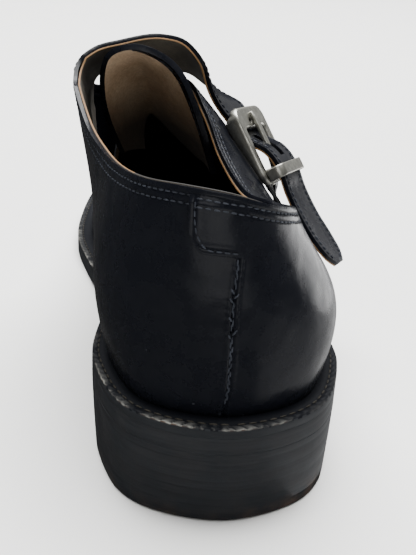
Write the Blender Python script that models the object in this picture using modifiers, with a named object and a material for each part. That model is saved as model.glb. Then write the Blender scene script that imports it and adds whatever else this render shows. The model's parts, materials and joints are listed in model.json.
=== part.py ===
"""Right shoe with one buckled strap over the instep, on a welted leather sole with a stacked heel.

X points to the outer side of the foot, Y to the toe and Z up. Tables are in millimetres, with Y measured
from the back of the welt, and to_world() turns them to metres about the middle of the heel's tread.
A share is a place along the sole's edge: 0 at the heel's back, 1 at the toe's tip, below 0 on the outer side.
"""

import bpy
import bmesh
import numpy as np
from mathutils import Matrix, Vector

# Driving dimensions
MM = 0.001
GAP = 0.3
FEATHER_GAP = 0.55
TREAD_CENTRE_Y = 41.0
HEEL_HEIGHT = 26.0
OUTSOLE_THICKNESS = 5.2
WELT_THICKNESS = 3.2
INSOLE_THICKNESS = 4.2
UPPER_WALL = 2.2
TONGUE_WALL = 2.2
STRAP_WALL = 2.2
QUARTER_STEP = 1.2
WELT_UNDER_UPPER = 4.2

# Sole heights, worked out from the driving dimensions
WELT_BASE = OUTSOLE_THICKNESS + GAP
UPPER_BASE = WELT_BASE + WELT_THICKNESS + FEATHER_GAP

# Heel block
BREAST_SHARE = 0.272
BREAST_HOLLOW = 5.0
BREAST_LEAN = 2.0
HEEL_TAPER_BACK = 3.2
HEEL_TAPER_SIDE = 1.3
HEEL_TAPER_TURN = 0.12
HEEL_TAPER_POWER = 1.3

# Counts of rows and columns in the lofted meshes
SOLE_STATIONS = 56
HEEL_EDGE_STATIONS = 12
HEEL_LEVELS = 4
BREAST_STATIONS = 7
QUARTER_RIBS = 24
VAMP_RIBS = 18
RIB_ROWS = 11
TONGUE_ROWS = 9
TONGUE_COLUMNS = 16
STRAP_STATIONS = 58
STRAP_COLUMNS = 5
OUTLINE_SAMPLES = 1400
END_CROWDING = 0.10
WELD_DISTANCE = 1e-6
SLOPE_STEP = 1e-3

# Edge of the welt seen from above, from the heel's back along the outer side and back along the inner side
OUTLINE = (
    # name, x, y
    ("heel_back", 0.0, 0.0),
    ("heel_round_outer", 27.4, 11.3),
    ("heel_side_outer", 39.2, 38.0),
    ("seat_end_outer", 38.4, 76.0),
    ("waist_outer", 40.0, 114.0),
    ("ball_behind_outer", 52.5, 156.0),
    ("ball_outer", 58.5, 192.0),
    ("small_toe", 54.5, 231.0),
    ("toe_side_outer", 40.5, 268.0),
    ("toe_round_outer", 21.5, 295.0),
    ("toe_tip", -3.0, 305.0),
    ("toe_round_inner", -26.5, 295.0),
    ("toe_side_inner", -41.0, 268.0),
    ("great_toe", -47.5, 238.0),
    ("ball_inner", -48.5, 211.0),
    ("ball_behind_inner", -42.0, 174.0),
    ("waist_inner", -33.0, 128.0),
    ("seat_end_inner", -35.5, 80.0),
    ("heel_side_inner", -38.8, 40.0),
    ("heel_round_inner", -27.6, 11.4),
)

# Underside of the outsole: flat heel seat, arch, flat forefoot and toe spring
UNDERSIDE = (
    # y, z
    (0.0, HEEL_HEIGHT),
    (86.0, HEEL_HEIGHT),
    (124.0, 15.0),
    (156.0, 4.8),
    (182.0, 0.0),
    (230.0, 0.0),
    (266.0, 3.8),
    (305.0, 13.5),
)

# How far the welt stands out past the upper
WELT_REACH = (
    # share, reach
    (0.00, 6.5),
    (0.15, 5.2),
    (0.34, 3.8),
    (0.56, 5.8),
    (0.80, 6.2),
    (1.00, 6.8),
)

# Top edge of the quarters, from the throat along the outer side, round the heel and along the inner side
COLLAR = (
    # name, share, x, y, z
    ("throat_outer", -0.500, -18.0, 152.0, 96.0),
    ("front_edge_outer", -0.470, -12.0, 138.0, 102.0),
    ("peak_outer", -0.440, -6.0, 122.0, 106.5),
    ("rise_outer", -0.390, 0.3, 110.0, 98.5),
    ("slope_outer", -0.335, 5.5, 97.0, 86.0),
    ("dip_outer", -0.275, 12.0, 80.0, 78.0),
    ("side_outer", -0.215, 18.5, 60.0, 81.0),
    ("turn_outer", -0.160, 20.0, 38.0, 87.5),
    ("round_outer", -0.105, 16.0, 22.0, 93.0),
    ("near_back_outer", -0.055, 8.0, 11.0, 97.8),
    ("back", 0.000, -3.0, 6.2, 101.8),
    ("near_back_inner", 0.055, -16.0, 10.0, 103.0),
    ("round_inner", 0.105, -25.5, 21.0, 101.4),
    ("turn_inner", 0.160, -32.0, 38.0, 99.4),
    ("side_inner", 0.220, -37.0, 57.0, 98.9),
    ("rise_inner", 0.290, -42.0, 77.0, 102.0),
    ("strap_rear", 0.355, -46.2, 100.0, 110.0),
    ("strap_middle", 0.405, -44.0, 119.0, 106.5),
    ("strap_front", 0.450, -40.5, 139.0, 100.0),
    ("throat_inner", 0.500, -18.0, 152.0, 96.0),
)

# Ridge of the vamp, where the two sides meet
RIDGE = (
    # share, x, y, z
    (0.50, -18.0, 152.0, 96.0),
    (0.55, -17.5, 168.0, 86.0),
    (0.61, -15.0, 187.0, 75.5),
    (0.69, -10.5, 212.0, 64.0),
    (0.77, -7.0, 236.0, 56.0),
    (0.85, -4.8, 256.0, 50.5),
    (0.93, -3.6, 272.0, 46.5),
    (1.00, -3.0, 283.0, 43.0),
)

# Share where the quarters meet the vamp
THROAT = 0.50

# Shape of the wall between its foot and its top edge, at each place round the shoe
WALL = (
    # share, bulge out at the foot, rise of the foot, reach out at the top, drop at the top
    (-1.000, 1.5, 12.0, 8.0, 2.8),
    (-0.900, 2.0, 13.0, 14.0, 3.0),
    (-0.800, 2.5, 14.0, 22.0, 2.4),
    (-0.700, 3.0, 16.0, 31.0, 2.0),
    (-0.600, 4.0, 18.0, 34.0, 4.0),
    (-0.500, 4.0, 21.0, 30.0, 7.0),
    (-0.440, 4.5, 23.0, 18.0, 15.0),
    (-0.390, 5.0, 24.0, 17.0, 17.0),
    (-0.335, 6.0, 24.0, 18.0, 14.0),
    (-0.275, 7.0, 24.0, 16.0, 12.0),
    (-0.215, 7.4, 24.0, 13.0, 14.0),
    (-0.160, 8.4, 24.0, 11.0, 20.0),
    (-0.105, 6.5, 26.0, 7.0, 23.0),
    (-0.055, 5.0, 28.0, 3.0, 25.0),
    (0.000, 4.5, 30.0, 0.0, 26.0),
    (0.055, 5.0, 28.0, 1.5, 26.0),
    (0.105, 6.5, 26.0, 4.0, 26.0),
    (0.160, 7.5, 26.0, 6.0, 25.0),
    (0.220, 6.5, 28.0, 2.0, 24.0),
    (0.290, 6.0, 28.0, -1.0, 22.0),
    (0.355, 6.0, 28.0, -3.0, 22.0),
    (0.405, 5.0, 26.0, -1.0, 22.0),
    (0.450, 4.0, 24.0, 3.0, 20.0),
    (0.500, 3.0, 22.0, 20.0, 6.0),
    (0.600, 3.0, 18.0, 20.0, 2.0),
    (0.700, 2.5, 16.0, 19.0, 1.0),
    (0.800, 2.5, 14.0, 17.0, 1.8),
    (0.900, 2.0, 13.0, 13.0, 2.8),
    (1.000, 1.5, 12.0, 8.0, 2.8),
)

# Tail of the outer quarter that laps over the back seam
TAB_SHARES = (-0.022, 0.044)
TAB_LOW_EDGE = 0.755
TAB_WALL = 1.1
TAB_COLUMNS = 9
TAB_ROWS = 6
TAB_CORNER = 0.14
TAB_CORNER_SHARE = 0.018
TAB_TOP = 0.985

# Arches across the tongue, each from its inner edge over the crest to its outer edge
TONGUE = (
    # arch name, then x, y, z of the inner edge, inner side, inner shoulder, crest,
    # outer shoulder, outer side and outer edge
    ("rear_edge", (-29.5, 124.0, 77.0), (-36.8, 115.0, 99.0), (-35.5, 107.0, 116.5), (-25.0, 104.0, 121.6),
     (-12.6, 102.0, 117.0), (-4.6, 99.8, 105.4), (5.2, 103.0, 76.0)),
    ("middle", (-27.0, 130.0, 76.0), (-30.5, 128.0, 92.0), (-28.0, 126.0, 104.0), (-20.5, 125.0, 108.5),
     (-13.5, 123.0, 103.0), (-7.5, 122.0, 93.5), (5.0, 124.0, 74.0)),
    ("root", (-21.0, 146.0, 72.0), (-21.5, 146.0, 80.0), (-20.0, 146.0, 86.5), (-16.5, 146.0, 88.5),
     (-12.0, 146.0, 85.5), (-6.5, 146.0, 80.0), (4.0, 146.0, 70.0)),
)

# Buckle, with its own axes: along the strap towards its tail, across the strap, and out from the shoe
BUCKLE_CENTRE = (23.2, 118.0, 83.0)
BUCKLE_ALONG = (0.44, -0.385, -0.81)
BUCKLE_ACROSS = (0.54, 0.82, -0.20)
FRAME_LENGTH = 31.0
FRAME_WIDTH = 26.0
FRAME_BAR = 3.4
FRAME_THICKNESS = 3.0
FRAME_PLATE_END = -7.0
FRAME_CORNER = 4.5
FRAME_EDGE_ROUND = 0.8
WINDOW_CORNER = 1.9
PRONG_WIDTH = 2.6
PRONG_THICKNESS = 1.7
PRONG_SAG = 1.5
PRONG_TIP = 0.9
PRONG_SHORT_OF_EDGE = 2.7
KEEPER_WIDTH = 4.6
KEEPER_BAND = 1.4
KEEPER_ACROSS = 24.2
KEEPER_TOP = 8.4
KEEPER_CORNER = 3.2
KEEPER_ALONG = 12.6
CORNER_SEGMENTS = 5

# Side walls of the frame, which reach down to the quarter
FRAME_WALLS = (
    # along, out of the lower edge
    (-11.0, -4.2),
    (-7.0, -3.9),
    (-3.5, -3.5),
    (0.0, -3.1),
    (3.5, -2.6),
    (7.0, -2.1),
    (11.0, -1.5),
)

# Leather tab that holds the lower bar: the middle of its strip in the buckle's axes, and its tilt across
BUCKLE_TAB = (
    # name, along, out, rise for each millimetre across
    ("sewn_end", 30.0, -3.9, -0.50),
    ("sewn", 23.0, -4.2, -0.50),
    ("lift", 18.6, -3.9, -0.34),
    ("under_bar", 15.4, -2.9, -0.06),
    ("turn", 11.7, -2.4, 0.0),
    ("behind_bar", 10.5, 0.0, 0.0),
    ("over_bar", 11.7, 2.8, 0.0),
    ("end", 14.4, 2.95, 0.0),
)
BUCKLE_TAB_WALL = 1.5
BUCKLE_TAB_HALF = 6.0
BUCKLE_TAB_SLOT_HALF = 2.1
BUCKLE_TAB_SLOT_FROM = 2
BUCKLE_TAB_STATIONS = 15

# Strap over the instep: the rear edge and the front edge of its outer face
STRAP_INSTEP = (
    # name, rear x, y, z, front x, y, z
    ("root", (-46.2, 100.0, 110.3), (-40.5, 139.0, 100.3)),
    ("shoulder", (-45.0, 106.0, 115.0), (-38.9, 138.2, 104.9)),
    ("rise", (-40.0, 110.5, 118.6), (-33.5, 137.0, 106.6)),
    ("upper", (-30.0, 114.0, 121.2), (-24.5, 136.5, 107.4)),
    ("crest", (-15.0, 116.0, 123.2), (-11.5, 137.0, 108.2)),
    ("over", (-6.2, 115.5, 120.9), (-2.6, 136.5, 106.8)),
    ("fall", (0.2, 115.0, 113.8), (3.0, 136.0, 103.4)),
    ("low", (3.2, 115.5, 105.0), (8.6, 135.2, 99.4)),
)

# Strap from the buckle to its tip, in the buckle's axes
STRAP_TAIL = (
    # name, along, out, half width
    ("before_plate", -18.0, -3.4, 10.4),
    ("under_plate", -13.0, -2.7, 9.4),
    ("window", -6.5, -1.9, 9.0),
    ("hole", -2.0, 0.9, 9.0),
    ("bow", 3.0, 4.8, 9.0),
    ("bow_top", 8.5, 6.5, 9.0),
    ("keeper", 14.5, 6.5, 9.0),
    ("below", 20.5, 5.7, 9.0),
    ("tail", 32.0, 5.6, 9.0),
    ("tail_low", 44.0, 7.0, 8.6),
    ("tip_shoulder", 50.0, 8.0, 6.4),
    ("tip", 53.0, 8.5, 3.0),
)
STRAP_ROOT_SHARES = (0.355, 0.450)
STRAP_ROOT_RISE = 1.1
STRAP_ROOT_BLEND = 16.0
STRAP_WIDTH = 18.0
HOLE_WIDTH = 4.0
HOLE_ALONG = (-6.0, 9.0)

# Plain colours, one for each material
BLACK_LEATHER = (0.012, 0.014, 0.020, 1.0)
SOLE_LEATHER = (0.020, 0.020, 0.022, 1.0)
SOCK_LEATHER = (0.030, 0.022, 0.016, 1.0)
LINED_LEATHER = (0.060, 0.038, 0.022, 1.0)
PEWTER = (0.35, 0.34, 0.31, 1.0)


def column(rows, *places):
    """Return the named columns of a table as an array with a row for each table row."""
    return np.array([[row[place] for place in places] for row in rows], dtype=float)


def hermite(knots, values, tangents, at):
    """Read a cubic curve with the given tangents at each knot."""
    at = np.clip(np.asarray(at, dtype=float), knots[0], knots[-1])
    span = np.clip(np.searchsorted(knots, at, side="right") - 1, 0, len(knots) - 2)
    width = (knots[span + 1] - knots[span])[:, None]
    share = (at - knots[span])[:, None] / width
    start = values[span] * (1 + 2 * share) + tangents[span] * share * width
    end = values[span + 1] * (3 - 2 * share) - tangents[span + 1] * (1 - share) * width
    return start * (1 - share) ** 2 + end * share ** 2


def smooth(knots, values, at):
    """Read a smooth curve through the rows of a table, with tangents from neighbouring rows."""
    widths = np.diff(knots)[:, None]
    slopes = np.diff(values, axis=0) / widths
    inner = (slopes[:-1] * widths[1:] + slopes[1:] * widths[:-1]) / (widths[:-1] + widths[1:])
    tangents = np.vstack([2 * slopes[:1] - inner[:1], inner, 2 * slopes[-1:] - inner[-1:]])
    return hermite(knots, values, tangents, at)


def level(table, at):
    """Read a curve through a two-column table that never swings past its rows, so flats stay flat."""
    knots, values = column(table, 0)[:, 0], column(table, 1)
    slopes = np.diff(values, axis=0) / np.diff(knots)[:, None]
    before, after = slopes[:-1], slopes[1:]
    same_way = before * after > 0
    total = np.where(same_way, before + after, 1.0)
    inner = np.where(same_way, 2 * before * after / total, 0.0)
    tangents = np.vstack([slopes[:1], inner, slopes[-1:]])
    return hermite(knots, values, tangents, at)[:, 0]


def outline_sides():
    """Return fine points and outward directions of the welt's edge, for the outer and the inner side."""
    points = column(OUTLINE, 1, 2)
    wrapped = np.vstack([points[-2:], points, points[:3]])
    knots = np.concatenate([[0.0], np.cumsum(np.linalg.norm(np.diff(wrapped, axis=0), axis=1))])
    start, end = knots[2], knots[2 + len(points)]
    tip = knots[2 + [row[0] for row in OUTLINE].index("toe_tip")]
    sides = {}
    for side, stop in ((-1, start), (1, end)):
        places = np.linspace(stop, tip, OUTLINE_SAMPLES)
        edge = smooth(knots, wrapped, places)
        along = np.gradient(edge, axis=0)
        along /= np.linalg.norm(along, axis=1)[:, None]
        out = -side * np.stack([along[:, 1], -along[:, 0]], axis=1)
        lengths = np.concatenate([[0.0], np.cumsum(np.linalg.norm(np.diff(edge, axis=0), axis=1))])
        sides[side] = (lengths / lengths[-1], edge, out)
    return sides


EDGE_SIDES = outline_sides()


def edge_at(shares, inset=0.0):
    """Return points of the welt's edge, moved in by inset, and the outward directions there."""
    shares = np.asarray(shares, dtype=float)
    inset = np.broadcast_to(inset, shares.shape)
    points = np.zeros((len(shares), 2))
    outward = np.zeros((len(shares), 2))
    for side in (-1, 1):
        here = shares < 0 if side < 0 else shares >= 0
        places, edge, out = EDGE_SIDES[side]
        for axis in (0, 1):
            points[here, axis] = np.interp(np.abs(shares[here]), places, edge[:, axis])
            outward[here, axis] = np.interp(np.abs(shares[here]), places, out[:, axis])
    outward /= np.linalg.norm(outward, axis=1)[:, None]
    return points - outward * inset[:, None], outward


def underside(y):
    """Return the height of the outsole's underside at places along the shoe."""
    return level(UNDERSIDE, y)


def welt_reach(shares):
    """Return how far the welt stands out past the upper."""
    return level(WELT_REACH, np.abs(shares))


def round_spacing(count):
    """Return shares from 0 to 1 that stand closer together at the heel's back and the toe's tip."""
    even = np.linspace(0.0, 1.0, count)
    return even - np.sin(2 * np.pi * even) * END_CROWDING


def to_world(points):
    """Turn table millimetres into metres about the middle of the heel's tread."""
    return (np.asarray(points, dtype=float) - (0.0, TREAD_CENTRE_Y, 0.0)) * MM


def fresh_collection():
    """Clear the objects of the file and make the collection that holds the shoe."""
    for item in list(bpy.data.objects):
        bpy.data.objects.remove(item, do_unlink=True)
    collection = bpy.data.collections.new("monk_strap_shoe")
    bpy.context.scene.collection.children.link(collection)
    return collection


SHOE = fresh_collection()


def material(name, colour, roughness, metallic=0.0):
    """Make a Principled material."""
    made = bpy.data.materials.new(name)
    made.use_nodes = True
    shader = made.node_tree.nodes["Principled BSDF"]
    shader.inputs["Base Color"].default_value = colour
    shader.inputs["Roughness"].default_value = roughness
    shader.inputs["Metallic"].default_value = metallic
    return made


def mesh_object(name, points, faces, surface, inside=None):
    """Make a mesh object, weld its coincident points and turn its faces outward.

    An open sheet has no outside of its own, so inside gives a point that its faces look away from.
    """
    mesh = bpy.data.meshes.new(name)
    mesh.from_pydata(to_world(points).tolist(), [], faces)
    sheet = bmesh.new()
    sheet.from_mesh(mesh)
    bmesh.ops.remove_doubles(sheet, verts=sheet.verts, dist=WELD_DISTANCE)
    bmesh.ops.recalc_face_normals(sheet, faces=sheet.faces)
    if inside is not None:
        centre = Vector(to_world(inside))
        facing = sum(face.normal.dot(face.calc_center_median() - centre) * face.calc_area()
                     for face in sheet.faces)
        if facing < 0:
            bmesh.ops.reverse_faces(sheet, faces=sheet.faces)
    sheet.to_mesh(mesh)
    sheet.free()
    made = bpy.data.objects.new(name, mesh)
    made.data.materials.append(surface)
    SHOE.objects.link(made)
    return made


def solidify(made, thickness):
    """Give an open sheet its wall, on the side that it looks away from."""
    wall = made.modifiers.new("wall", "SOLIDIFY")
    wall.thickness = thickness * MM
    wall.offset = -1.0
    wall.use_even_offset = True
    wall.use_quality_normals = True
    return made


def grid_faces(rows, columns, first=0, skip=()):
    """Return the quads of a grid of points stored row by row."""
    faces = []
    for row in range(rows - 1):
        for place in range(columns - 1):
            if (row, place) in skip:
                continue
            corner = first + row * columns + place
            faces.append((corner, corner + 1, corner + columns + 1, corner + columns))
    return faces


def loop_faces(loops, points_in_loop, closed):
    """Return the quads between loops of points stored loop by loop."""
    faces = []
    for loop in range(loops if closed else loops - 1):
        start, after = loop * points_in_loop, (loop + 1) % loops * points_in_loop
        for place in range(points_in_loop):
            other = (place + 1) % points_in_loop
            faces.append((start + place, start + other, after + other, after + place))
    return faces


def slab(name, inset, base, thickness, surface):
    """Loft a full-length layer of the sole that follows the underside's curve."""
    shares = round_spacing(SOLE_STATIONS)
    inset = inset(shares) if callable(inset) else inset
    outer, _ = edge_at(-shares, inset)
    inner, _ = edge_at(shares, inset)
    outer[-1] = inner[-1]
    points = []
    for left, right in zip(inner, outer):
        low_left, low_right = underside([left[1], right[1]]) + base
        points += [(*left, low_left), (*right, low_right),
                   (*right, low_right + thickness), (*left, low_left + thickness)]
    return mesh_object(name, points, loop_faces(SOLE_STATIONS, 4, closed=False), surface)


def make_outsole():
    """Outsole: the full-length bottom layer, with arch and toe spring."""
    slab("outsole", 0.0, 0.0, OUTSOLE_THICKNESS, material("outsole_leather", SOLE_LEATHER, 0.4))


def make_insole():
    """Insole: the floor inside the shoe, let in between the welt's inner edges."""
    slab("insole", lambda shares: welt_reach(shares) + WELT_UNDER_UPPER + GAP,
         WELT_BASE + GAP, INSOLE_THICKNESS, material("insole_leather", SOCK_LEATHER, 0.6))


def make_welt():
    """Welt: a strip all the way round that stands out from the upper."""
    half = round_spacing(SOLE_STATIONS)
    shares = np.concatenate([half, -half[-2:0:-1]])
    outer, _ = edge_at(shares)
    inner, _ = edge_at(shares, welt_reach(shares) + WELT_UNDER_UPPER)
    points = []
    for far, near in zip(outer, inner):
        far_low, near_low = underside([far[1], near[1]]) + WELT_BASE
        points += [(*far, far_low), (*far, far_low + WELT_THICKNESS),
                   (*near, near_low + WELT_THICKNESS), (*near, near_low)]
    mesh_object("welt", points, loop_faces(len(shares), 4, closed=True),
                material("welt_leather", SOLE_LEATHER, 0.4))


def make_heel():
    """Heel: one stacked block with a slight taper, a flat tread and a hollow breast."""
    shares = np.linspace(-BREAST_SHARE, BREAST_SHARE, 2 * HEEL_EDGE_STATIONS + 1)
    turn = np.clip(np.abs(shares) / HEEL_TAPER_TURN, 0.0, 1.0)
    taper = HEEL_TAPER_SIDE + (HEEL_TAPER_BACK - HEEL_TAPER_SIDE) * (1 - turn ** 2)
    points = []
    for share in np.linspace(0.0, 1.0, HEEL_LEVELS):
        edge, _ = edge_at(shares, taper * (1 - share) ** HEEL_TAPER_POWER)
        across = np.linspace(0.0, 1.0, BREAST_STATIONS + 2)[1:-1]
        breast = edge[-1] + (edge[0] - edge[-1]) * across[:, None]
        breast[:, 1] -= BREAST_HOLLOW * 4 * across * (1 - across)
        ring = np.vstack([edge, breast])
        front = ring[:, 1] / edge[-1, 1]
        ring[:, 1] -= BREAST_LEAN * (1 - share) * front
        points += [(x, y, (HEEL_HEIGHT - GAP) * share) for x, y in ring]
    size = len(points) // HEEL_LEVELS
    faces = loop_faces(HEEL_LEVELS, size, closed=False)
    faces.append(tuple(range(size)))
    faces.append(tuple(range(len(points) - size, len(points))))
    mesh_object("heel", points, faces, material("heel_leather", SOLE_LEATHER, 0.35))


def wall_points(shares, heights):
    """Return points of the upper's outer face, a row of heights for each share.

    Each rib is a cubic curve from the foot on the welt to the collar or the ridge.
    """
    shares = np.asarray(shares, dtype=float)
    foot, outward = edge_at(shares, welt_reach(shares))
    foot = np.column_stack([foot, underside(foot[:, 1]) + UPPER_BASE])
    outward = np.column_stack([outward, np.zeros(len(shares))])
    collar = smooth(column(COLLAR, 1)[:, 0], column(COLLAR, 2, 3, 4), shares)
    ridge = smooth(column(RIDGE, 0)[:, 0], column(RIDGE, 1, 2, 3), np.abs(shares))
    top = np.where((np.abs(shares) >= THROAT)[:, None], ridge, collar)
    bulge, rise, reach, drop = smooth(column(WALL, 0)[:, 0], column(WALL, 1, 2, 3, 4), shares).T
    up = np.array([0.0, 0.0, 1.0])
    low_handle = foot + outward * bulge[:, None] + up * rise[:, None]
    top_handle = top + outward * reach[:, None] - up * drop[:, None]
    at = np.asarray(heights, dtype=float)[None, :, None]
    return (foot[:, None] * (1 - at) ** 3 + low_handle[:, None] * 3 * at * (1 - at) ** 2
            + top_handle[:, None] * 3 * at ** 2 * (1 - at) + top[:, None] * at ** 3)


def wall_outward(shares, heights):
    """Return outward directions of the upper's outer face."""
    shares = np.asarray(shares, dtype=float)
    heights = np.asarray(heights, dtype=float)
    low, high = np.maximum(heights - SLOPE_STEP, 0.0), np.minimum(heights + SLOPE_STEP, 1.0)
    along = wall_points(shares + SLOPE_STEP, heights) - wall_points(shares - SLOPE_STEP, heights)
    upward = wall_points(shares, high) - wall_points(shares, low)
    out = np.cross(upward, along)
    return out / np.linalg.norm(out, axis=2)[:, :, None]


def make_upper():
    """Upper: vamp and quarters in one shell, the quarters a step higher where they lap over the vamp."""
    heights = np.linspace(0.0, 1.0, RIB_ROWS)
    quarter_shares = np.linspace(-THROAT, THROAT, 2 * QUARTER_RIBS + 1)
    quarters = wall_points(quarter_shares, heights)
    points = quarters.reshape(-1, 3).tolist()
    faces = grid_faces(len(quarter_shares), RIB_ROWS)
    half = np.linspace(THROAT, 1.0, VAMP_RIBS)
    inside_ends = np.clip(half, THROAT + 2 * SLOPE_STEP, 1.0 - 2 * SLOPE_STEP)
    for side in (-1, 1):
        vamp = wall_points(side * half, heights)
        sunk = vamp - wall_outward(side * inside_ends, heights) * QUARTER_STEP
        sunk[:, -1] = vamp[:, -1] - (0.0, 0.0, QUARTER_STEP)
        sunk[-1, :, 0] = vamp[-1, :, 0]
        lap = quarters[0] if side < 0 else quarters[-1]
        rows = np.concatenate([lap[None], sunk])
        first = len(points)
        points += rows.reshape(-1, 3).tolist()
        faces += grid_faces(len(rows), RIB_ROWS, first)
    made = mesh_object("upper", points, faces, material("upper_leather", BLACK_LEATHER, 0.3),
                       inside=(0.0, 120.0, 50.0))
    solidify(made, UPPER_WALL)


def make_heel_tab():
    """Heel tab: a thin overlay on the upper's own face, rounded at its lower inner corner."""
    shares = np.linspace(*TAB_SHARES, TAB_COLUMNS)
    past = np.clip(1 - (TAB_SHARES[1] - shares) / TAB_CORNER_SHARE, 0.0, 1.0)
    low = TAB_LOW_EDGE + TAB_CORNER * (1 - np.sqrt(1 - past ** 2))
    points = []
    for share, start in zip(shares, low):
        heights = np.linspace(start, TAB_TOP, TAB_ROWS)
        face = wall_points([share], heights)[0]
        points += (face + wall_outward([share], heights)[0] * (GAP + TAB_WALL)).tolist()
    made = mesh_object("heel_tab", points, grid_faces(TAB_COLUMNS, TAB_ROWS),
                       material("heel_tab_leather", BLACK_LEATHER, 0.3), inside=(0.0, 60.0, 90.0))
    solidify(made, TAB_WALL)


def make_tongue():
    """Tongue: an arched sheet from its rear edge inside the collar to its root under the vamp."""
    arches = np.array([row[1:] for row in TONGUE], dtype=float)
    across = np.linspace(0.0, 1.0, arches.shape[1])
    lengthways = np.linspace(0.0, 1.0, len(arches))
    rows = np.array([smooth(across, arch, np.linspace(0.0, 1.0, TONGUE_COLUMNS)) for arch in arches])
    columns = [smooth(lengthways, rows[:, place], np.linspace(0.0, 1.0, TONGUE_ROWS))
               for place in range(TONGUE_COLUMNS)]
    points = np.stack(columns, axis=1).reshape(-1, 3)
    made = mesh_object("tongue", points, grid_faces(TONGUE_ROWS, TONGUE_COLUMNS),
                       material("tongue_leather", LINED_LEATHER, 0.5), inside=(-15.0, 130.0, 60.0))
    solidify(made, TONGUE_WALL)


def buckle_axes():
    """Return the buckle's axes as unit vectors: along, across and out."""
    along = np.array(BUCKLE_ALONG) / np.linalg.norm(BUCKLE_ALONG)
    across = np.array(BUCKLE_ACROSS) - along * np.dot(along, BUCKLE_ACROSS)
    across /= np.linalg.norm(across)
    return along, across, np.cross(along, across)


def buckle_place(along, across, out):
    """Return the shoe's millimetres for a place in the buckle's axes."""
    directions = buckle_axes()
    return np.array(BUCKLE_CENTRE) + along * directions[0] + across * directions[1] + out * directions[2]


def strap_edges():
    """Return the rear edge and the front edge of the strap's outer face, from its root to its tip."""
    rear = [row[1] for row in STRAP_INSTEP]
    front = [row[2] for row in STRAP_INSTEP]
    for _, along, out, half in STRAP_TAIL:
        rear.append(buckle_place(along, -half, out))
        front.append(buckle_place(along, half, out))
    rear, front = np.array(rear), np.array(front)
    middle = (rear + front) / 2
    knots = np.concatenate([[0.0], np.cumsum(np.linalg.norm(np.diff(middle, axis=0), axis=1))])
    return knots, rear, front


def make_strap():
    """Strap: a sheet from the inner quarter's edge through the buckle to its tip, with the prong's hole."""
    knots, rear, front = strap_edges()
    at = np.linspace(0.0, knots[-1], STRAP_STATIONS)
    rear, front = smooth(knots, rear, at), smooth(knots, front, at)
    across = np.linspace(0.0, 1.0, STRAP_COLUMNS + 1)
    hole_half = HOLE_WIDTH / STRAP_WIDTH / 2
    across[2], across[3] = 0.5 - hole_half, 0.5 + hole_half
    points = rear[:, None] * (1 - across)[None, :, None] + front[:, None] * across[None, :, None]
    shares = STRAP_ROOT_SHARES[0] + (STRAP_ROOT_SHARES[1] - STRAP_ROOT_SHARES[0]) * across
    bow = wall_points(shares, [1.0])[:, 0] + (0.0, 0.0, STRAP_ROOT_RISE) - points[0]
    fade = np.clip(1 - at / STRAP_ROOT_BLEND, 0.0, 1.0) ** 2
    points += bow[None] * fade[:, None, None]
    from_buckle = (rear + front) / 2 - np.array(BUCKLE_CENTRE)
    along = from_buckle @ buckle_axes()[0]
    near_buckle = np.linalg.norm(from_buckle, axis=1) < FRAME_LENGTH / 2
    skip = {(row, 2) for row in range(STRAP_STATIONS - 1)
            if near_buckle[row] and HOLE_ALONG[0] < along[row] and along[row + 1] < HOLE_ALONG[1]}
    faces = grid_faces(STRAP_STATIONS, STRAP_COLUMNS + 1, skip=skip)
    made = mesh_object("strap", points.reshape(-1, 3), faces,
                       material("strap_leather", BLACK_LEATHER, 0.3), inside=(-5.0, 125.0, 50.0))
    solidify(made, STRAP_WALL)


def rounded_rectangle(length, width, corner):
    """Return the points of a rectangle with round corners about the origin."""
    points = []
    for turn, (side_x, side_y) in enumerate(((1, 1), (-1, 1), (-1, -1), (1, -1))):
        angles = np.radians(90.0 * turn) + np.linspace(0.0, np.pi / 2, CORNER_SEGMENTS)
        centre = (side_x * (length / 2 - corner), side_y * (width / 2 - corner))
        points += [(centre[0] + corner * np.cos(angle), centre[1] + corner * np.sin(angle))
                   for angle in angles]
    return points


def plate(name, outlines, thickness, edge_round, place):
    """Make a flat piece from outlines in its own plane, put where place says."""
    curve = bpy.data.curves.new(name, "CURVE")
    curve.dimensions = "2D"
    curve.fill_mode = "BOTH"
    curve.render_resolution_u = 0
    curve.extrude = (thickness / 2 - edge_round) * MM
    curve.bevel_depth = edge_round * MM
    curve.bevel_resolution = 1 if edge_round else 0
    curve.offset = -edge_round * MM
    for outline in outlines:
        spline = curve.splines.new("POLY")
        spline.points.add(len(outline) - 1)
        for point, (x, y) in zip(spline.points, outline):
            point.co = (x * MM, y * MM, 0.0, 1.0)
        spline.use_cyclic_u = True
    made = bpy.data.objects.new(name, curve)
    SHOE.objects.link(made)
    made.matrix_world = place
    return made


def buckle_matrix(first, second, third, along=0.0, across=0.0, out=0.0):
    """Return the placing of a plate whose own axes are the named buckle axes."""
    directions = dict(zip(("along", "across", "out"), buckle_axes()))
    turned = np.eye(4)
    for place, name in enumerate((first, second, third)):
        turned[:3, place] = directions[name]
    turned[:3, 3] = to_world(buckle_place(along, across, out))
    return Matrix(turned.tolist())


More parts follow.
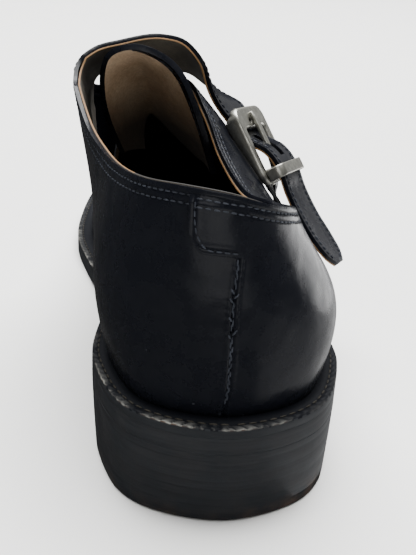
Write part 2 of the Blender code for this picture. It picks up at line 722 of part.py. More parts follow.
def make_buckle_frame():
    """Buckle frame: cast with a broad upper plate, and side walls that reach down to the quarter."""
    low, high = -FRAME_THICKNESS / 2, FRAME_THICKNESS / 2
    window = (FRAME_PLATE_END, FRAME_LENGTH / 2 - FRAME_BAR)
    walls = np.array(FRAME_WALLS)
    edges = []
    for turn, (end, side) in enumerate(((1, 1), (-1, 1), (-1, -1), (1, -1))):
        centre = np.array((end * (FRAME_LENGTH / 2 - FRAME_CORNER), side * (FRAME_WIDTH / 2 - FRAME_CORNER)))
        window_end = window[0] + WINDOW_CORNER if end < 0 else window[1] - WINDOW_CORNER
        window_centre = np.array((window_end, side * (FRAME_WIDTH / 2 - FRAME_BAR - WINDOW_CORNER)))
        for angle in np.radians(90.0 * turn) + np.linspace(0.0, np.pi / 2, CORNER_SEGMENTS):
            away = np.array((np.cos(angle), np.sin(angle)))
            on_wall = abs(away[0]) < WELD_DISTANCE
            depth = walls[0 if end < 0 else -1, 1] if on_wall else low
            edges.append((centre + away * FRAME_CORNER, window_centre + away * WINDOW_CORNER, depth))
        if end * side > 0:
            for along, depth in walls[1:-1][::-side]:
                share = (along - walls[0, 0]) / (walls[-1, 0] - walls[0, 0])
                inner = window[0] + WINDOW_CORNER + share * (window[1] - window[0] - 2 * WINDOW_CORNER)
                edges.append((np.array((along, side * FRAME_WIDTH / 2)),
                              np.array((inner, side * (FRAME_WIDTH / 2 - FRAME_BAR))), depth))
    points = []
    for outer, inner, depth in edges:
        step = (inner - outer) / np.linalg.norm(inner - outer) * FRAME_EDGE_ROUND
        section = ((outer, depth), (outer, high - FRAME_EDGE_ROUND), (outer + step, high), (inner, high),
                   (inner, depth))
        points += [buckle_place(*place, out) for place, out in section]
    mesh_object("buckle_frame", points, loop_faces(len(edges), 5, closed=True),
                material("frame_pewter", PEWTER, 0.35, 1.0))


def make_buckle_prong():
    """Prong: an open eye round the lower bar, and a blade whose tip rests on the upper plate."""
    bar = FRAME_LENGTH / 2 - FRAME_BAR / 2
    near, far = bar - FRAME_BAR / 2 - GAP, bar + FRAME_BAR / 2 + GAP
    rest = FRAME_THICKNESS / 2 + GAP
    tip = -FRAME_LENGTH / 2 + PRONG_SHORT_OF_EDGE
    nose = tip + FRAME_BAR
    outline = [
        # out, along
        (-rest, far), (-rest, near), (rest, near), (rest, far),
        (rest + PRONG_THICKNESS, far), (rest + PRONG_THICKNESS, near - PRONG_THICKNESS),
        (rest + PRONG_SAG, 0.0), (rest + PRONG_THICKNESS, nose), (rest + PRONG_TIP, tip),
        (rest, tip), (rest, nose), (rest + PRONG_SAG - PRONG_THICKNESS, 0.0),
        (0.0, near - PRONG_THICKNESS), (-rest - PRONG_THICKNESS, near - PRONG_THICKNESS),
        (-rest - PRONG_THICKNESS, far),
    ]
    made = plate("buckle_prong", (outline,), PRONG_WIDTH, 0.0, buckle_matrix("out", "along", "across"))
    made.data.materials.append(material("prong_pewter", PEWTER, 0.35, 1.0))


def make_strap_keeper():
    """Keeper: a metal arch on the frame's side walls, tall enough for the bowed strap."""
    foot = FRAME_THICKNESS / 2 + GAP
    outline = []
    for half, top, corner, turn in ((KEEPER_ACROSS / 2, KEEPER_TOP, KEEPER_CORNER, 1),
                                    (KEEPER_ACROSS / 2 - KEEPER_BAND, KEEPER_TOP - KEEPER_BAND,
                                     KEEPER_CORNER - KEEPER_BAND, -1)):
        arch = [(half, foot)]
        for side in (1, -1):
            angles = np.linspace(0.0, np.pi / 2, CORNER_SEGMENTS)[::side]
            arch += [(side * (half - corner + corner * np.cos(angle)), top - corner + corner * np.sin(angle))
                     for angle in angles]
        arch.append((-half, foot))
        outline += arch[::turn]
    made = plate("strap_keeper", (outline,), KEEPER_WIDTH, 0.0,
                 buckle_matrix("across", "out", "along", along=KEEPER_ALONG))
    made.data.materials.append(material("keeper_pewter", PEWTER, 0.35, 1.0))


def make_buckle_tab():
    """Buckle tab: a leather strip from the outer quarter, turned over the lower bar."""
    middle = column(BUCKLE_TAB, 1, 2, 3)
    knots = np.arange(len(middle), dtype=float)
    at = np.linspace(0.0, knots[-1], BUCKLE_TAB_STATIONS)
    columns = (-BUCKLE_TAB_HALF, -BUCKLE_TAB_SLOT_HALF, BUCKLE_TAB_SLOT_HALF, BUCKLE_TAB_HALF)
    points = [buckle_place(along, across, out + tilt * across)
              for along, out, tilt in smooth(knots, middle, at) for across in columns]
    skip = {(row, 1) for row in range(BUCKLE_TAB_STATIONS) if at[row] >= BUCKLE_TAB_SLOT_FROM}
    made = mesh_object("buckle_tab", points, grid_faces(BUCKLE_TAB_STATIONS, len(columns), skip=skip),
                       material("buckle_tab_leather", BLACK_LEATHER, 0.3), inside=(0.0, 118.0, 60.0))
    solidify(made, BUCKLE_TAB_WALL).modifiers["wall"].offset = 0.0


def main():
    make_outsole()
    make_heel()
    make_welt()
    make_insole()
    make_upper()
    make_heel_tab()
    make_tongue()
    make_strap()
    make_buckle_frame()
    make_buckle_prong()
    make_strap_keeper()
    make_buckle_tab()


main()
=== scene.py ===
"""Looks of the right monk strap shoe, laid out as an add-on and run as a script.

Tables are in millimetres, with Y measured from the back of the welt; to_world() turns them to metres about the
middle of the heel's tread. A share is a place along the sole's edge: 0 at the heel's back, 1 at the toe's tip,
below 0 on the outer side. A height runs along a rib of the upper from its foot, 0, to its top edge, 1.
"""

import json
import math

import bpy
import numpy as np
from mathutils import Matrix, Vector

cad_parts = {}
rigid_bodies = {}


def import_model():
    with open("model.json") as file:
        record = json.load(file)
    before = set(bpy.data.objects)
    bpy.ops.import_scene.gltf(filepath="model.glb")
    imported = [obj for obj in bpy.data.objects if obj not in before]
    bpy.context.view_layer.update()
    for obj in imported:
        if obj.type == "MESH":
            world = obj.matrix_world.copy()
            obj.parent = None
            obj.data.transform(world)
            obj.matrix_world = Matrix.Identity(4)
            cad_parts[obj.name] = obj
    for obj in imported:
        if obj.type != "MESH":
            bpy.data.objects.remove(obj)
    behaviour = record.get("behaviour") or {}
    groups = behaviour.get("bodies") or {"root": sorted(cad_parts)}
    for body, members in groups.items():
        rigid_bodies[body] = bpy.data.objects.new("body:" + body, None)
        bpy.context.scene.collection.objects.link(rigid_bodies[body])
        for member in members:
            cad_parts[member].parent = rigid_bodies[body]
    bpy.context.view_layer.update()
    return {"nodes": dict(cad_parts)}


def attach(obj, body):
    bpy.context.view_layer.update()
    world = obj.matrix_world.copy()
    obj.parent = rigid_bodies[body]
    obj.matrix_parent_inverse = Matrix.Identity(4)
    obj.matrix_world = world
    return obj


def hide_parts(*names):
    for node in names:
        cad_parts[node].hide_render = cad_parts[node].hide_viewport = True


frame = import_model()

bl_info = {
    "name": "Monk strap shoe",
    "version": (1, 0, 0),
    "blender": (4, 5, 0),
    "location": "3D View > Sidebar > Shoe",
    "description": "Dresses the solids of a welted shoe with one buckled strap",
    "category": "Object",
}

MM = 0.001
TREAD_CENTRE_Y = 41.0
BODY = "root"

# Edge of the welt seen from above, from the heel's back along the outer side and back along the inner side
OUTLINE = (
    # x, y
    (0.0, 0.0), (27.4, 11.3), (39.2, 38.0), (38.4, 76.0), (40.0, 114.0), (52.5, 156.0), (58.5, 192.0),
    (54.5, 231.0), (40.5, 268.0), (21.5, 295.0), (-3.0, 305.0), (-26.5, 295.0), (-41.0, 268.0),
    (-47.5, 238.0), (-48.5, 211.0), (-42.0, 174.0), (-33.0, 128.0), (-35.5, 80.0), (-38.8, 40.0),
    (-27.6, 11.4),
)
TOE_TIP_ROW = 10
OUTLINE_SAMPLES = 1400

# Underside of the outsole: flat heel seat, arch, flat forefoot and toe spring
UNDERSIDE = (
    # y, z
    (0.0, 26.0), (86.0, 26.0), (124.0, 15.0), (156.0, 4.8), (182.0, 0.0), (230.0, 0.0), (266.0, 3.8),
    (305.0, 13.5),
)

# How far the welt stands out past the upper
WELT_REACH = (
    # share, reach
    (0.00, 6.5), (0.15, 5.2), (0.34, 3.8), (0.56, 5.8), (0.80, 6.2), (1.00, 6.8),
)

# Sole layers
HEEL_TOP = 25.7
OUTSOLE_THICKNESS = 5.2
WELT_BASE = 5.5
WELT_THICKNESS = 3.2
WELT_UNDER_UPPER = 4.2
UPPER_BASE = 9.25
INSOLE_BASE = 5.8
INSOLE_THICKNESS = 4.2
LAYER_GAP = 0.3
FOOT_DROP = 0.5

# Top edge of the quarters, from the throat along the outer side, round the heel and along the inner side
COLLAR = (
    # share, x, y, z
    (-0.500, -18.0, 152.0, 96.0), (-0.470, -12.0, 138.0, 102.0), (-0.440, -6.0, 122.0, 106.5),
    (-0.390, 0.3, 110.0, 98.5), (-0.335, 5.5, 97.0, 86.0), (-0.275, 12.0, 80.0, 78.0),
    (-0.215, 18.5, 60.0, 81.0), (-0.160, 20.0, 38.0, 87.5), (-0.105, 16.0, 22.0, 93.0),
    (-0.055, 8.0, 11.0, 97.8), (0.000, -3.0, 6.2, 101.8), (0.055, -16.0, 10.0, 103.0),
    (0.105, -25.5, 21.0, 101.4), (0.160, -32.0, 38.0, 99.4), (0.220, -37.0, 57.0, 98.9),
    (0.290, -42.0, 77.0, 102.0), (0.355, -46.2, 100.0, 110.0), (0.405, -44.0, 119.0, 106.5),
    (0.450, -40.5, 139.0, 100.0), (0.500, -18.0, 152.0, 96.0),
)

# Ridge of the vamp, where the two sides meet
RIDGE = (
    # share, x, y, z
    (0.50, -18.0, 152.0, 96.0), (0.55, -17.5, 168.0, 86.0), (0.61, -15.0, 187.0, 75.5),
    (0.69, -10.5, 212.0, 64.0), (0.77, -7.0, 236.0, 56.0), (0.85, -4.8, 256.0, 50.5),
    (0.93, -3.6, 272.0, 46.5), (1.00, -3.0, 283.0, 43.0),
)
THROAT = 0.50

# Shape of the wall between its foot and its top edge, at each place round the shoe
WALL = (
    # share, bulge out at the foot, rise of the foot, reach out at the top, drop at the top
    (-1.000, 1.5, 12.0, 8.0, 2.8), (-0.900, 2.0, 13.0, 14.0, 3.0), (-0.800, 2.5, 14.0, 22.0, 2.4),
    (-0.700, 3.0, 16.0, 31.0, 2.0), (-0.600, 4.0, 18.0, 34.0, 4.0), (-0.500, 4.0, 21.0, 30.0, 7.0),
    (-0.440, 4.5, 23.0, 18.0, 15.0), (-0.390, 5.0, 24.0, 17.0, 17.0), (-0.335, 6.0, 24.0, 18.0, 14.0),
    (-0.275, 7.0, 24.0, 16.0, 12.0), (-0.215, 7.4, 24.0, 13.0, 14.0), (-0.160, 8.4, 24.0, 11.0, 20.0),
    (-0.105, 6.5, 26.0, 7.0, 23.0), (-0.055, 5.0, 28.0, 3.0, 25.0), (0.000, 4.5, 30.0, 0.0, 26.0),
    (0.055, 5.0, 28.0, 1.5, 26.0), (0.105, 6.5, 26.0, 4.0, 26.0), (0.160, 7.5, 26.0, 6.0, 25.0),
    (0.220, 6.5, 28.0, 2.0, 24.0), (0.290, 6.0, 28.0, -1.0, 22.0), (0.355, 6.0, 28.0, -3.0, 22.0),
    (0.405, 5.0, 26.0, -1.0, 22.0), (0.450, 4.0, 24.0, 3.0, 20.0), (0.500, 3.0, 22.0, 20.0, 6.0),
    (0.600, 3.0, 18.0, 20.0, 2.0), (0.700, 2.5, 16.0, 19.0, 1.0), (0.800, 2.5, 14.0, 17.0, 1.8),
    (0.900, 2.0, 13.0, 13.0, 2.8), (1.000, 1.5, 12.0, 8.0, 2.8),
)
SLOPE_STEP = 1e-3
RIB_SAMPLES = 161
SHARE_LENGTH = 345.0

# Arches across the tongue, each from its inner edge over the crest to its outer edge
TONGUE = (
    # rear edge, middle and root: x, y, z of seven points
    ((-29.5, 124.0, 77.0), (-36.8, 115.0, 99.0), (-35.5, 107.0, 116.5), (-25.0, 104.0, 121.6),
     (-12.6, 102.0, 117.0), (-4.6, 99.8, 105.4), (5.2, 103.0, 76.0)),
    ((-27.0, 130.0, 76.0), (-30.5, 128.0, 92.0), (-28.0, 126.0, 104.0), (-20.5, 125.0, 108.5),
     (-13.5, 123.0, 103.0), (-7.5, 122.0, 93.5), (5.0, 124.0, 74.0)),
    ((-21.0, 146.0, 72.0), (-21.5, 146.0, 80.0), (-20.0, 146.0, 86.5), (-16.5, 146.0, 88.5),
     (-12.0, 146.0, 85.5), (-6.5, 146.0, 80.0), (4.0, 146.0, 70.0)),
)
TONGUE_WALL = 2.2

# Tail of the outer quarter that laps over the back seam
TAB_SHARES = (-0.022, 0.044)
TAB_LOW_EDGE = 0.755
TAB_CORNER = 0.14
TAB_CORNER_SHARE = 0.018
TAB_TOP = 0.985
TAB_ROW = 1.7
TAB_RIB_LENGTH = 80.0

# Line of the back seam
BACK_SEAM = (
    # height, share
    (0.00, 0.0060), (0.12, 0.0030), (0.43, 0.0000), (0.56, -0.0025), (0.76, -0.0100),
)
BACK_RIB_LENGTH = 72.0

# Buckle, with its own axes: along the strap towards its tail, across the strap, and out from the shoe
BUCKLE_CENTRE = (23.2, 118.0, 83.0)
BUCKLE_ALONG = (0.44, -0.385, -0.81)
BUCKLE_ACROSS = (0.54, 0.82, -0.20)
FRAME_LENGTH = 31.0
FRAME_WIDTH = 26.0
FRAME_BAR = 3.4
FRAME_THICKNESS = 3.0
FRAME_PLATE_END = -7.0
FRAME_CORNER = 4.5
WINDOW_CORNER = 1.9
KEEPER_WIDTH = 4.6
KEEPER_BAND = 1.4
KEEPER_ACROSS = 24.2
KEEPER_TOP = 8.4
KEEPER_CORNER = 3.2
KEEPER_ALONG = 12.6

# Side walls of the frame, which reach down to the quarter
FRAME_WALLS = (
    # along, out of the lower edge
    (-11.0, -4.2), (-7.0, -3.9), (-3.5, -3.5), (0.0, -3.1), (3.5, -2.6), (7.0, -2.1), (11.0, -1.5),
)

# Leather tab that holds the lower bar: the middle of its strip in the buckle's axes, and its tilt across
BUCKLE_TAB = (
    # along, out, rise for each millimetre across
    (30.0, -3.9, -0.50), (23.0, -4.2, -0.50), (18.6, -3.9, -0.34), (15.4, -2.9, -0.06), (11.7, -2.4, 0.0),
    (10.5, 0.0, 0.0), (11.7, 2.8, 0.0), (14.4, 2.95, 0.0),
)
BUCKLE_TAB_WALL = 1.5
BUCKLE_TAB_HALF = 6.0
BUCKLE_TAB_SLOT_HALF = 2.1

# Strap over the instep: the rear edge and the front edge of its outer face
STRAP_INSTEP = (
    # rear x, y, z, front x, y, z
    ((-46.2, 100.0, 110.3), (-40.5, 139.0, 100.3)), ((-45.0, 106.0, 115.0), (-38.9, 138.2, 104.9)),
    ((-40.0, 110.5, 118.6), (-33.5, 137.0, 106.6)), ((-30.0, 114.0, 121.2), (-24.5, 136.5, 107.4)),
    ((-15.0, 116.0, 123.2), (-11.5, 137.0, 108.2)), ((-6.2, 115.5, 120.9), (-2.6, 136.5, 106.8)),
    ((0.2, 115.0, 113.8), (3.0, 136.0, 103.4)), ((3.2, 115.5, 105.0), (8.6, 135.2, 99.4)),
)

# Strap from the buckle to its tip, in the buckle's axes
STRAP_TAIL = (
    # along, out, half width
    (-18.0, -3.4, 10.4), (-13.0, -2.7, 9.4), (-6.5, -1.9, 9.0), (-2.0, 0.9, 9.0), (3.0, 4.8, 9.0), (8.5, 6.5, 9.0),
    (14.5, 6.5, 9.0), (20.5, 5.7, 9.0), (32.0, 5.6, 9.0), (44.0, 7.0, 8.6), (50.0, 8.0, 6.4), (53.0, 8.5, 3.0),
)
STRAP_ROOT_SHARES = (0.355, 0.450)
STRAP_ROOT_BLEND = 16.0
STRAP_STATIONS = 150
HOLE_HALF = 1.9
HOLE_ALONG = (-4.5, 7.0)
HOLE_OUT = 12.0
ROOT_NEAR = 1e-6
ROOT_SOFT = 7.0
ROOT_SOFT_ROUNDS = 10

# Ribs of the quarters, from the inner front edge round the heel to the outer front edge
RIB_BANDS = (
    # from share, to share, ribs
    (0.500, 0.450, 16), (0.450, 0.355, 38), (0.355, 0.060, 84), (0.060, -0.060, 110), (-0.060, -0.500, 130),
)


def column(rows, *places):
    """Return the named columns of a table as an array with a row for each table row."""
    return np.array([[row[place] for place in places] for row in rows], dtype=float)


def unit(vectors):
    """Return vectors at a length of 1."""
    return vectors / np.linalg.norm(vectors, axis=-1)[..., None]


def run_lengths(path):
    """Return how far along a path each of its points lies."""
    return np.concatenate([[0.0], np.cumsum(np.linalg.norm(np.diff(path, axis=0), axis=1))])


def rib_lengths(ribs):
    """Return how far along its rib each point of the ribs lies."""
    steps = np.linalg.norm(np.diff(ribs, axis=1), axis=2)
    return np.concatenate([np.zeros((len(ribs), 1)), np.cumsum(steps, axis=1)], axis=1)


def hermite(knots, values, tangents, at):
    """Read a cubic curve with the given tangents at each knot."""
    at = np.clip(np.asarray(at, dtype=float), knots[0], knots[-1])
    span = np.clip(np.searchsorted(knots, at, side="right") - 1, 0, len(knots) - 2)
    width = (knots[span + 1] - knots[span])[:, None]
    share = (at - knots[span])[:, None] / width
    start = values[span] * (1 + 2 * share) + tangents[span] * share * width
    end = values[span + 1] * (3 - 2 * share) - tangents[span + 1] * (1 - share) * width
    return start * (1 - share) ** 2 + end * share ** 2


def smooth(knots, values, at):
    """Read a smooth curve through the rows of a table, with tangents from neighbouring rows."""
    widths = np.diff(knots)[:, None]
    slopes = np.diff(values, axis=0) / widths
    inner = (slopes[:-1] * widths[1:] + slopes[1:] * widths[:-1]) / (widths[:-1] + widths[1:])
    tangents = np.vstack([2 * slopes[:1] - inner[:1], inner, 2 * slopes[-1:] - inner[-1:]])
    return hermite(knots, values, tangents, at)


def smooth_table(table, at):
    """Read a smooth curve through a table whose first column is the place along it."""
    rows = np.array(table, dtype=float)
    return smooth(rows[:, 0], rows[:, 1:], at)


def level(table, at):
    """Read a curve through a two-column table that never swings past its rows, so flats stay flat."""
    knots, values = column(table, 0)[:, 0], column(table, 1)
    slopes = np.diff(values, axis=0) / np.diff(knots)[:, None]
    before, after = slopes[:-1], slopes[1:]
    same_way = before * after > 0
    total = np.where(same_way, before + after, 1.0)
    inner = np.where(same_way, 2 * before * after / total, 0.0)
    tangents = np.vstack([slopes[:1], inner, slopes[-1:]])
    return hermite(knots, values, tangents, np.ravel(at))[:, 0].reshape(np.shape(at))


def outline_sides():
    """Return fine points and outward directions of the welt's edge, for the outer and the inner side."""
    points = np.array(OUTLINE)
    wrapped = np.vstack([points[-2:], points, points[:3]])
    knots = run_lengths(wrapped)
    start, end, tip = knots[2], knots[2 + len(points)], knots[2 + TOE_TIP_ROW]
    sides = {}
    for side, stop in ((-1, start), (1, end)):
        edge = smooth(knots, wrapped, np.linspace(stop, tip, OUTLINE_SAMPLES))
        along = unit(np.gradient(edge, axis=0))
        out = -side * np.stack([along[:, 1], -along[:, 0]], axis=1)
        lengths = run_lengths(edge)
        sides[side] = (lengths / lengths[-1], edge, out)
    return sides


EDGE_SIDES = outline_sides()


def edge_at(shares, inset=0.0):
    """Return points of the welt's edge, moved in by inset, and the outward directions there."""
    shares = np.asarray(shares, dtype=float)
    inset = np.broadcast_to(inset, shares.shape)
    points = np.zeros((len(shares), 2))
    outward = np.zeros((len(shares), 2))
    for side in (-1, 1):
        here = shares < 0 if side < 0 else shares >= 0
        places, edge, out = EDGE_SIDES[side]
        for axis in (0, 1):
            points[here, axis] = np.interp(np.abs(shares[here]), places, edge[:, axis])
            outward[here, axis] = np.interp(np.abs(shares[here]), places, out[:, axis])
    outward = unit(outward)
    return points - outward * inset[:, None], outward


def wall_points(shares, heights):
    """Return points of the upper's outer face, a row of heights for each share."""
    shares = np.asarray(shares, dtype=float)
    foot, outward = edge_at(shares, level(WELT_REACH, np.abs(shares)))
    foot = np.column_stack([foot, level(UNDERSIDE, foot[:, 1]) + UPPER_BASE])
    outward = np.column_stack([outward, np.zeros(len(shares))])
    collar = smooth_table(COLLAR, shares)
    ridge = smooth_table(RIDGE, np.abs(shares))
    top = np.where((np.abs(shares) >= THROAT)[:, None], ridge, collar)
    bulge, rise, reach, drop = smooth_table(WALL, shares).T
    up = np.array([0.0, 0.0, 1.0])
    low_handle = foot + outward * bulge[:, None] + up * rise[:, None]
    top_handle = top + outward * reach[:, None] - up * drop[:, None]
    at = np.broadcast_to(heights, (len(shares), np.shape(heights)[-1]))[:, :, None]
    return (foot[:, None] * (1 - at) ** 3 + low_handle[:, None] * 3 * at * (1 - at) ** 2
            + top_handle[:, None] * 3 * at ** 2 * (1 - at) + top[:, None] * at ** 3)


def wall_outward(shares, heights):
    """Return outward directions of the upper's outer face."""
    shares = np.asarray(shares, dtype=float)
    heights = np.asarray(heights, dtype=float)
    low, high = np.maximum(heights - SLOPE_STEP, 0.0), np.minimum(heights + SLOPE_STEP, 1.0)
    along = wall_points(shares + SLOPE_STEP, heights) - wall_points(shares - SLOPE_STEP, heights)
    upward = wall_points(shares, high) - wall_points(shares, low)
    return unit(np.cross(upward, along))


def below_top(shares, distance):
    """Return the heights, one column, that lie a distance down each rib from its top edge."""
    heights = np.linspace(1.0, 0.0, RIB_SAMPLES)
    lengths = rib_lengths(wall_points(shares, heights))
    return np.array([[np.interp(distance, row, heights)] for row in lengths])


def buckle_axes():
    """Return the buckle's axes as unit vectors: along, across and out."""
    along = np.array(BUCKLE_ALONG) / np.linalg.norm(BUCKLE_ALONG)
    across = np.array(BUCKLE_ACROSS) - along * np.dot(along, BUCKLE_ACROSS)
    across /= np.linalg.norm(across)
    return along, across, np.cross(along, across)


BUCKLE_AXES = np.array(buckle_axes())


def buckle_place(places):
    """Return the shoe's millimetres for places in the buckle's axes."""
    places = np.asarray(places, dtype=float)
    return (np.array(BUCKLE_CENTRE) + places.reshape(-1, 3) @ BUCKLE_AXES).reshape(places.shape)


def to_world(points):
    """Turn table millimetres into metres about the middle of the heel's tread."""
    return (np.asarray(points, dtype=float) - (0.0, TREAD_CENTRE_Y, 0.0)) * MM


def to_table(points):
    """Turn metres back into table millimetres."""
    return np.asarray(points, dtype=float) / MM + (0.0, TREAD_CENTRE_Y, 0.0)


def hex_linear(code):
    """Turn an sRGB hex colour into linear red, green, blue and alpha."""
    parts = [int(code[place:place + 2], 16) / 255.0 for place in (1, 3, 5)]
    return tuple(p / 12.92 if p <= 0.04045 else ((p + 0.055) / 1.055) ** 2.4 for p in parts) + (1.0,)


def pick(piece):
    """Make a piece the only selected and the active object."""
    bpy.ops.object.select_all(action="DESELECT")
    piece.select_set(True)
    bpy.context.view_layer.objects.active = piece


def place_points(piece, points):
    """Put a piece's vertices at table millimetres."""
    piece.data.vertices.foreach_set("co", to_world(points).astype(np.float32).ravel())
    piece.data.update()


def points_of(piece):
    """Return a piece's vertices in table millimetres."""
    places = np.zeros(len(piece.data.vertices) * 3, np.float32)
    piece.data.vertices.foreach_get("co", places)
    return to_table(places.reshape(-1, 3))


def sheet(name, points):
    """Add a grid and lay its points on rows of table millimetres; its UV map runs along and across."""
    rows, columns = points.shape[:2]
    bpy.ops.object.select_all(action="DESELECT")
    bpy.ops.mesh.primitive_grid_add(x_subdivisions=columns - 1, y_subdivisions=rows - 1, size=1.0)
    piece = bpy.context.active_object
    piece.name = piece.data.name = name
    place_points(piece, points.reshape(-1, 3))
    return piece


def weld(piece, outward=False, within=0.02):
    """Merge a piece's coincident vertices and, for a closed shape, turn its faces outward."""
    pick(piece)
    bpy.ops.object.mode_set(mode="EDIT")
    bpy.ops.mesh.select_all(action="SELECT")
    bpy.ops.mesh.remove_doubles(threshold=within * MM)
    if outward:
        bpy.ops.mesh.normals_make_consistent(inside=False)
    bpy.ops.object.mode_set(mode="OBJECT")


def finish_with(piece, kind, **settings):
    """Add a modifier with its settings and apply it."""
    pick(piece)
    bpy.ops.object.modifier_add(type=kind)
    modifier = piece.modifiers[-1]
    for name, value in settings.items():
        setattr(modifier, name, value)
    bpy.ops.object.modifier_apply(modifier=modifier.name)


def round_edges(piece, width, segments=2, angle=50.0):
    """Round the sharp edges of a piece."""
    finish_with(piece, "BEVEL", width=width * MM, segments=segments, limit_method="ANGLE",
                angle_limit=math.radians(angle), miter_outer="MITER_ARC", use_clamp_overlap=True)


def smooth_shading(piece, angle=40.0):
    """Shade a piece smooth across all but its sharp edges."""
    pick(piece)
    bpy.ops.object.shade_smooth_by_angle(angle=math.radians(angle))


def cover(piece, *surfaces):
    """Give a piece its materials in order."""
    piece.data.materials.clear()
    for surface in surfaces:
        piece.data.materials.append(surface)


def settle(piece, slot, *nodes):
    """Put a finished piece on its body in place of its solids; the slot, the finish it would take, is not used."""
    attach(piece, BODY)
    if nodes:
        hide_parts(*nodes)


def surface(piece, points):
    """Return the nearest points of a piece's face and the normals there, both in millimetres."""
    found = [piece.closest_point_on_mesh(Vector(point)) for point in to_world(points)]
    return (to_table([place for _, place, _, _ in found]), np.array([normal for _, _, normal, _ in found]))


def node(tree, kind, inputs=None, **settings):
    """Add a shader node with its settings, and with a value or a link for each named input."""
    made = tree.nodes.new(kind)
    for name, value in settings.items():
        setattr(made, name, value)
    for socket, value in (inputs or {}).items():
        if isinstance(value, bpy.types.NodeSocket):
            tree.links.new(value, made.inputs[socket])
        else:
            made.inputs[socket].default_value = value
    return made


def blank(name, **values):
    """Start a material; return it, its tree, its shader and the Object coordinates."""
    made = bpy.data.materials.new(name)
    made.use_nodes = True
    tree = made.node_tree
    shader = tree.nodes["Principled BSDF"]
    for socket, value in values.items():
        shader.inputs[socket.replace("_", " ")].default_value = value
    return made, tree, shader, node(tree, "ShaderNodeTexCoord").outputs["Object"]


def waxed_calf(colours):
    """Black box calf, waxed and brushed: glossy over fine pores, soft dents, dust specks, grey wear."""
    made, tree, shader, where = blank("waxed_black_calf", IOR=1.5, Specular_IOR_Level=0.17)
    # Pores are 0.4 mm apart on the hide and drawn at 0.9 mm, so that they show in the render
    pores = node(tree, "ShaderNodeTexVoronoi", {"Vector": where, "Scale": 1000 / 0.9}).outputs["Distance"]
    dents = node(tree, "ShaderNodeTexNoise", {"Vector": where, "Scale": 1000 / 17.0, "Detail": 2.0}).outputs["Fac"]
    smears = node(tree, "ShaderNodeTexNoise", {"Vector": where, "Scale": 1000 / 9.0, "Detail": 5.0,
                                               "Roughness": 0.62}).outputs["Fac"]
    specks = node(tree, "ShaderNodeTexVoronoi", {"Vector": where, "Scale": 1000 / 5.5})
    dust = node(tree, "ShaderNodeMapRange", {"Value": specks.outputs["Distance"], "From Min": 0.03, "From Max": 0.075,
                                             "To Min": 0.08, "To Max": 0.0}).outputs["Result"]
    rare = node(tree, "ShaderNodeMath", {0: specks.outputs["Color"], 1: 0.62}, operation="GREATER_THAN").outputs[0]
    dust = node(tree, "ShaderNodeMath", {0: dust, 1: rare}, operation="MULTIPLY").outputs[0]
    wear_and_painted_light = node(tree, "ShaderNodeAttribute", attribute_name="wear_and_painted_light").outputs["Fac"]
    tone = node(tree, "ShaderNodeMix", {0: smears, 6: colours.calf[:], 7: colours.calf_light[:]},
                data_type="RGBA").outputs[2]
    tone = node(tree, "ShaderNodeMix", {0: wear_and_painted_light, 6: tone, 7: colours.calf_worn[:]},
                data_type="RGBA").outputs[2]
    tone = node(tree, "ShaderNodeMix", {0: dust, 6: tone, 7: colours.dust[:]}, data_type="RGBA").outputs[2]
    tree.links.new(tone, shader.inputs["Base Color"])
    gloss = node(tree, "ShaderNodeMapRange", {"Value": smears, "From Min": 0.3, "From Max": 0.75, "To Min": 0.20,
                                              "To Max": 0.36}).outputs["Result"]
    gloss = node(tree, "ShaderNodeMath", {0: wear_and_painted_light, 1: 0.25, 2: gloss}, operation="MULTIPLY_ADD").outputs[0]
    tree.links.new(gloss, shader.inputs["Roughness"])
    low = node(tree, "ShaderNodeBump", {"Height": dents, "Strength": 1.0, "Distance": 0.9 * MM}).outputs[0]
    fine = node(tree, "ShaderNodeBump", {"Height": pores, "Strength": 0.16, "Distance": 0.12 * MM,
                                         "Normal": low}).outputs[0]
    tree.links.new(fine, shader.inputs["Normal"])
    return made


def grained_lining(name, colour, dark, roughness, sheen, deep=(0.0, 1.0)):
    """Unfinished kip or suede lining: matt, mottled where feet have rubbed it, with a short nap that lifts its edge,
    and with painted shade that darkens it below a given height.
    """
    made, tree, shader, where = blank(name, Roughness=roughness, IOR=1.45, Sheen_Weight=sheen, Sheen_Roughness=0.5)
    rubbed = node(tree, "ShaderNodeTexNoise", {"Vector": where, "Scale": 1000 / 16.0, "Detail": 6.0,
                                               "Roughness": 0.6}).outputs["Fac"]
    nap = node(tree, "ShaderNodeTexNoise", {"Vector": where, "Scale": 1000 / 0.9, "Detail": 3.0}).outputs["Fac"]
    share = node(tree, "ShaderNodeMapRange", {"Value": rubbed, "From Min": 0.35, "From Max": 0.72}).outputs["Result"]
    tone = node(tree, "ShaderNodeMix", {0: share, 6: colour[:], 7: dark[:]},
                data_type="RGBA").outputs[2]
    fleck = node(tree, "ShaderNodeMapRange", {"Value": nap, "From Min": 0.3, "From Max": 0.7, "To Min": 0.8,
                                              "To Max": 1.12}).outputs["Result"]
    # Painted shade: darker from the second of two heights down to the first, where the inside of the shoe lies in
    # shadow
    height = node(tree, "ShaderNodeSeparateXYZ", {0: where}).outputs["Z"]
    painted_shade_and_nap = node(tree, "ShaderNodeMapRange", {"Value": height, "From Min": deep[0] * MM, "From Max": deep[1] * MM,
                                              "To Min": 0.12, "To Max": 1.0}).outputs["Result"]
    painted_shade_and_nap = node(tree, "ShaderNodeMath", {0: painted_shade_and_nap, 1: fleck}, operation="MULTIPLY").outputs[0]
    tone = node(tree, "ShaderNodeVectorMath", {0: tone, 3: painted_shade_and_nap}, operation="SCALE").outputs[0]
    tree.links.new(tone, shader.inputs["Base Color"])
    bump = node(tree, "ShaderNodeBump", {"Height": nap, "Strength": 0.5, "Distance": 0.15 * MM}).outputs[0]
    tree.links.new(bump, shader.inputs["Normal"])
    return made


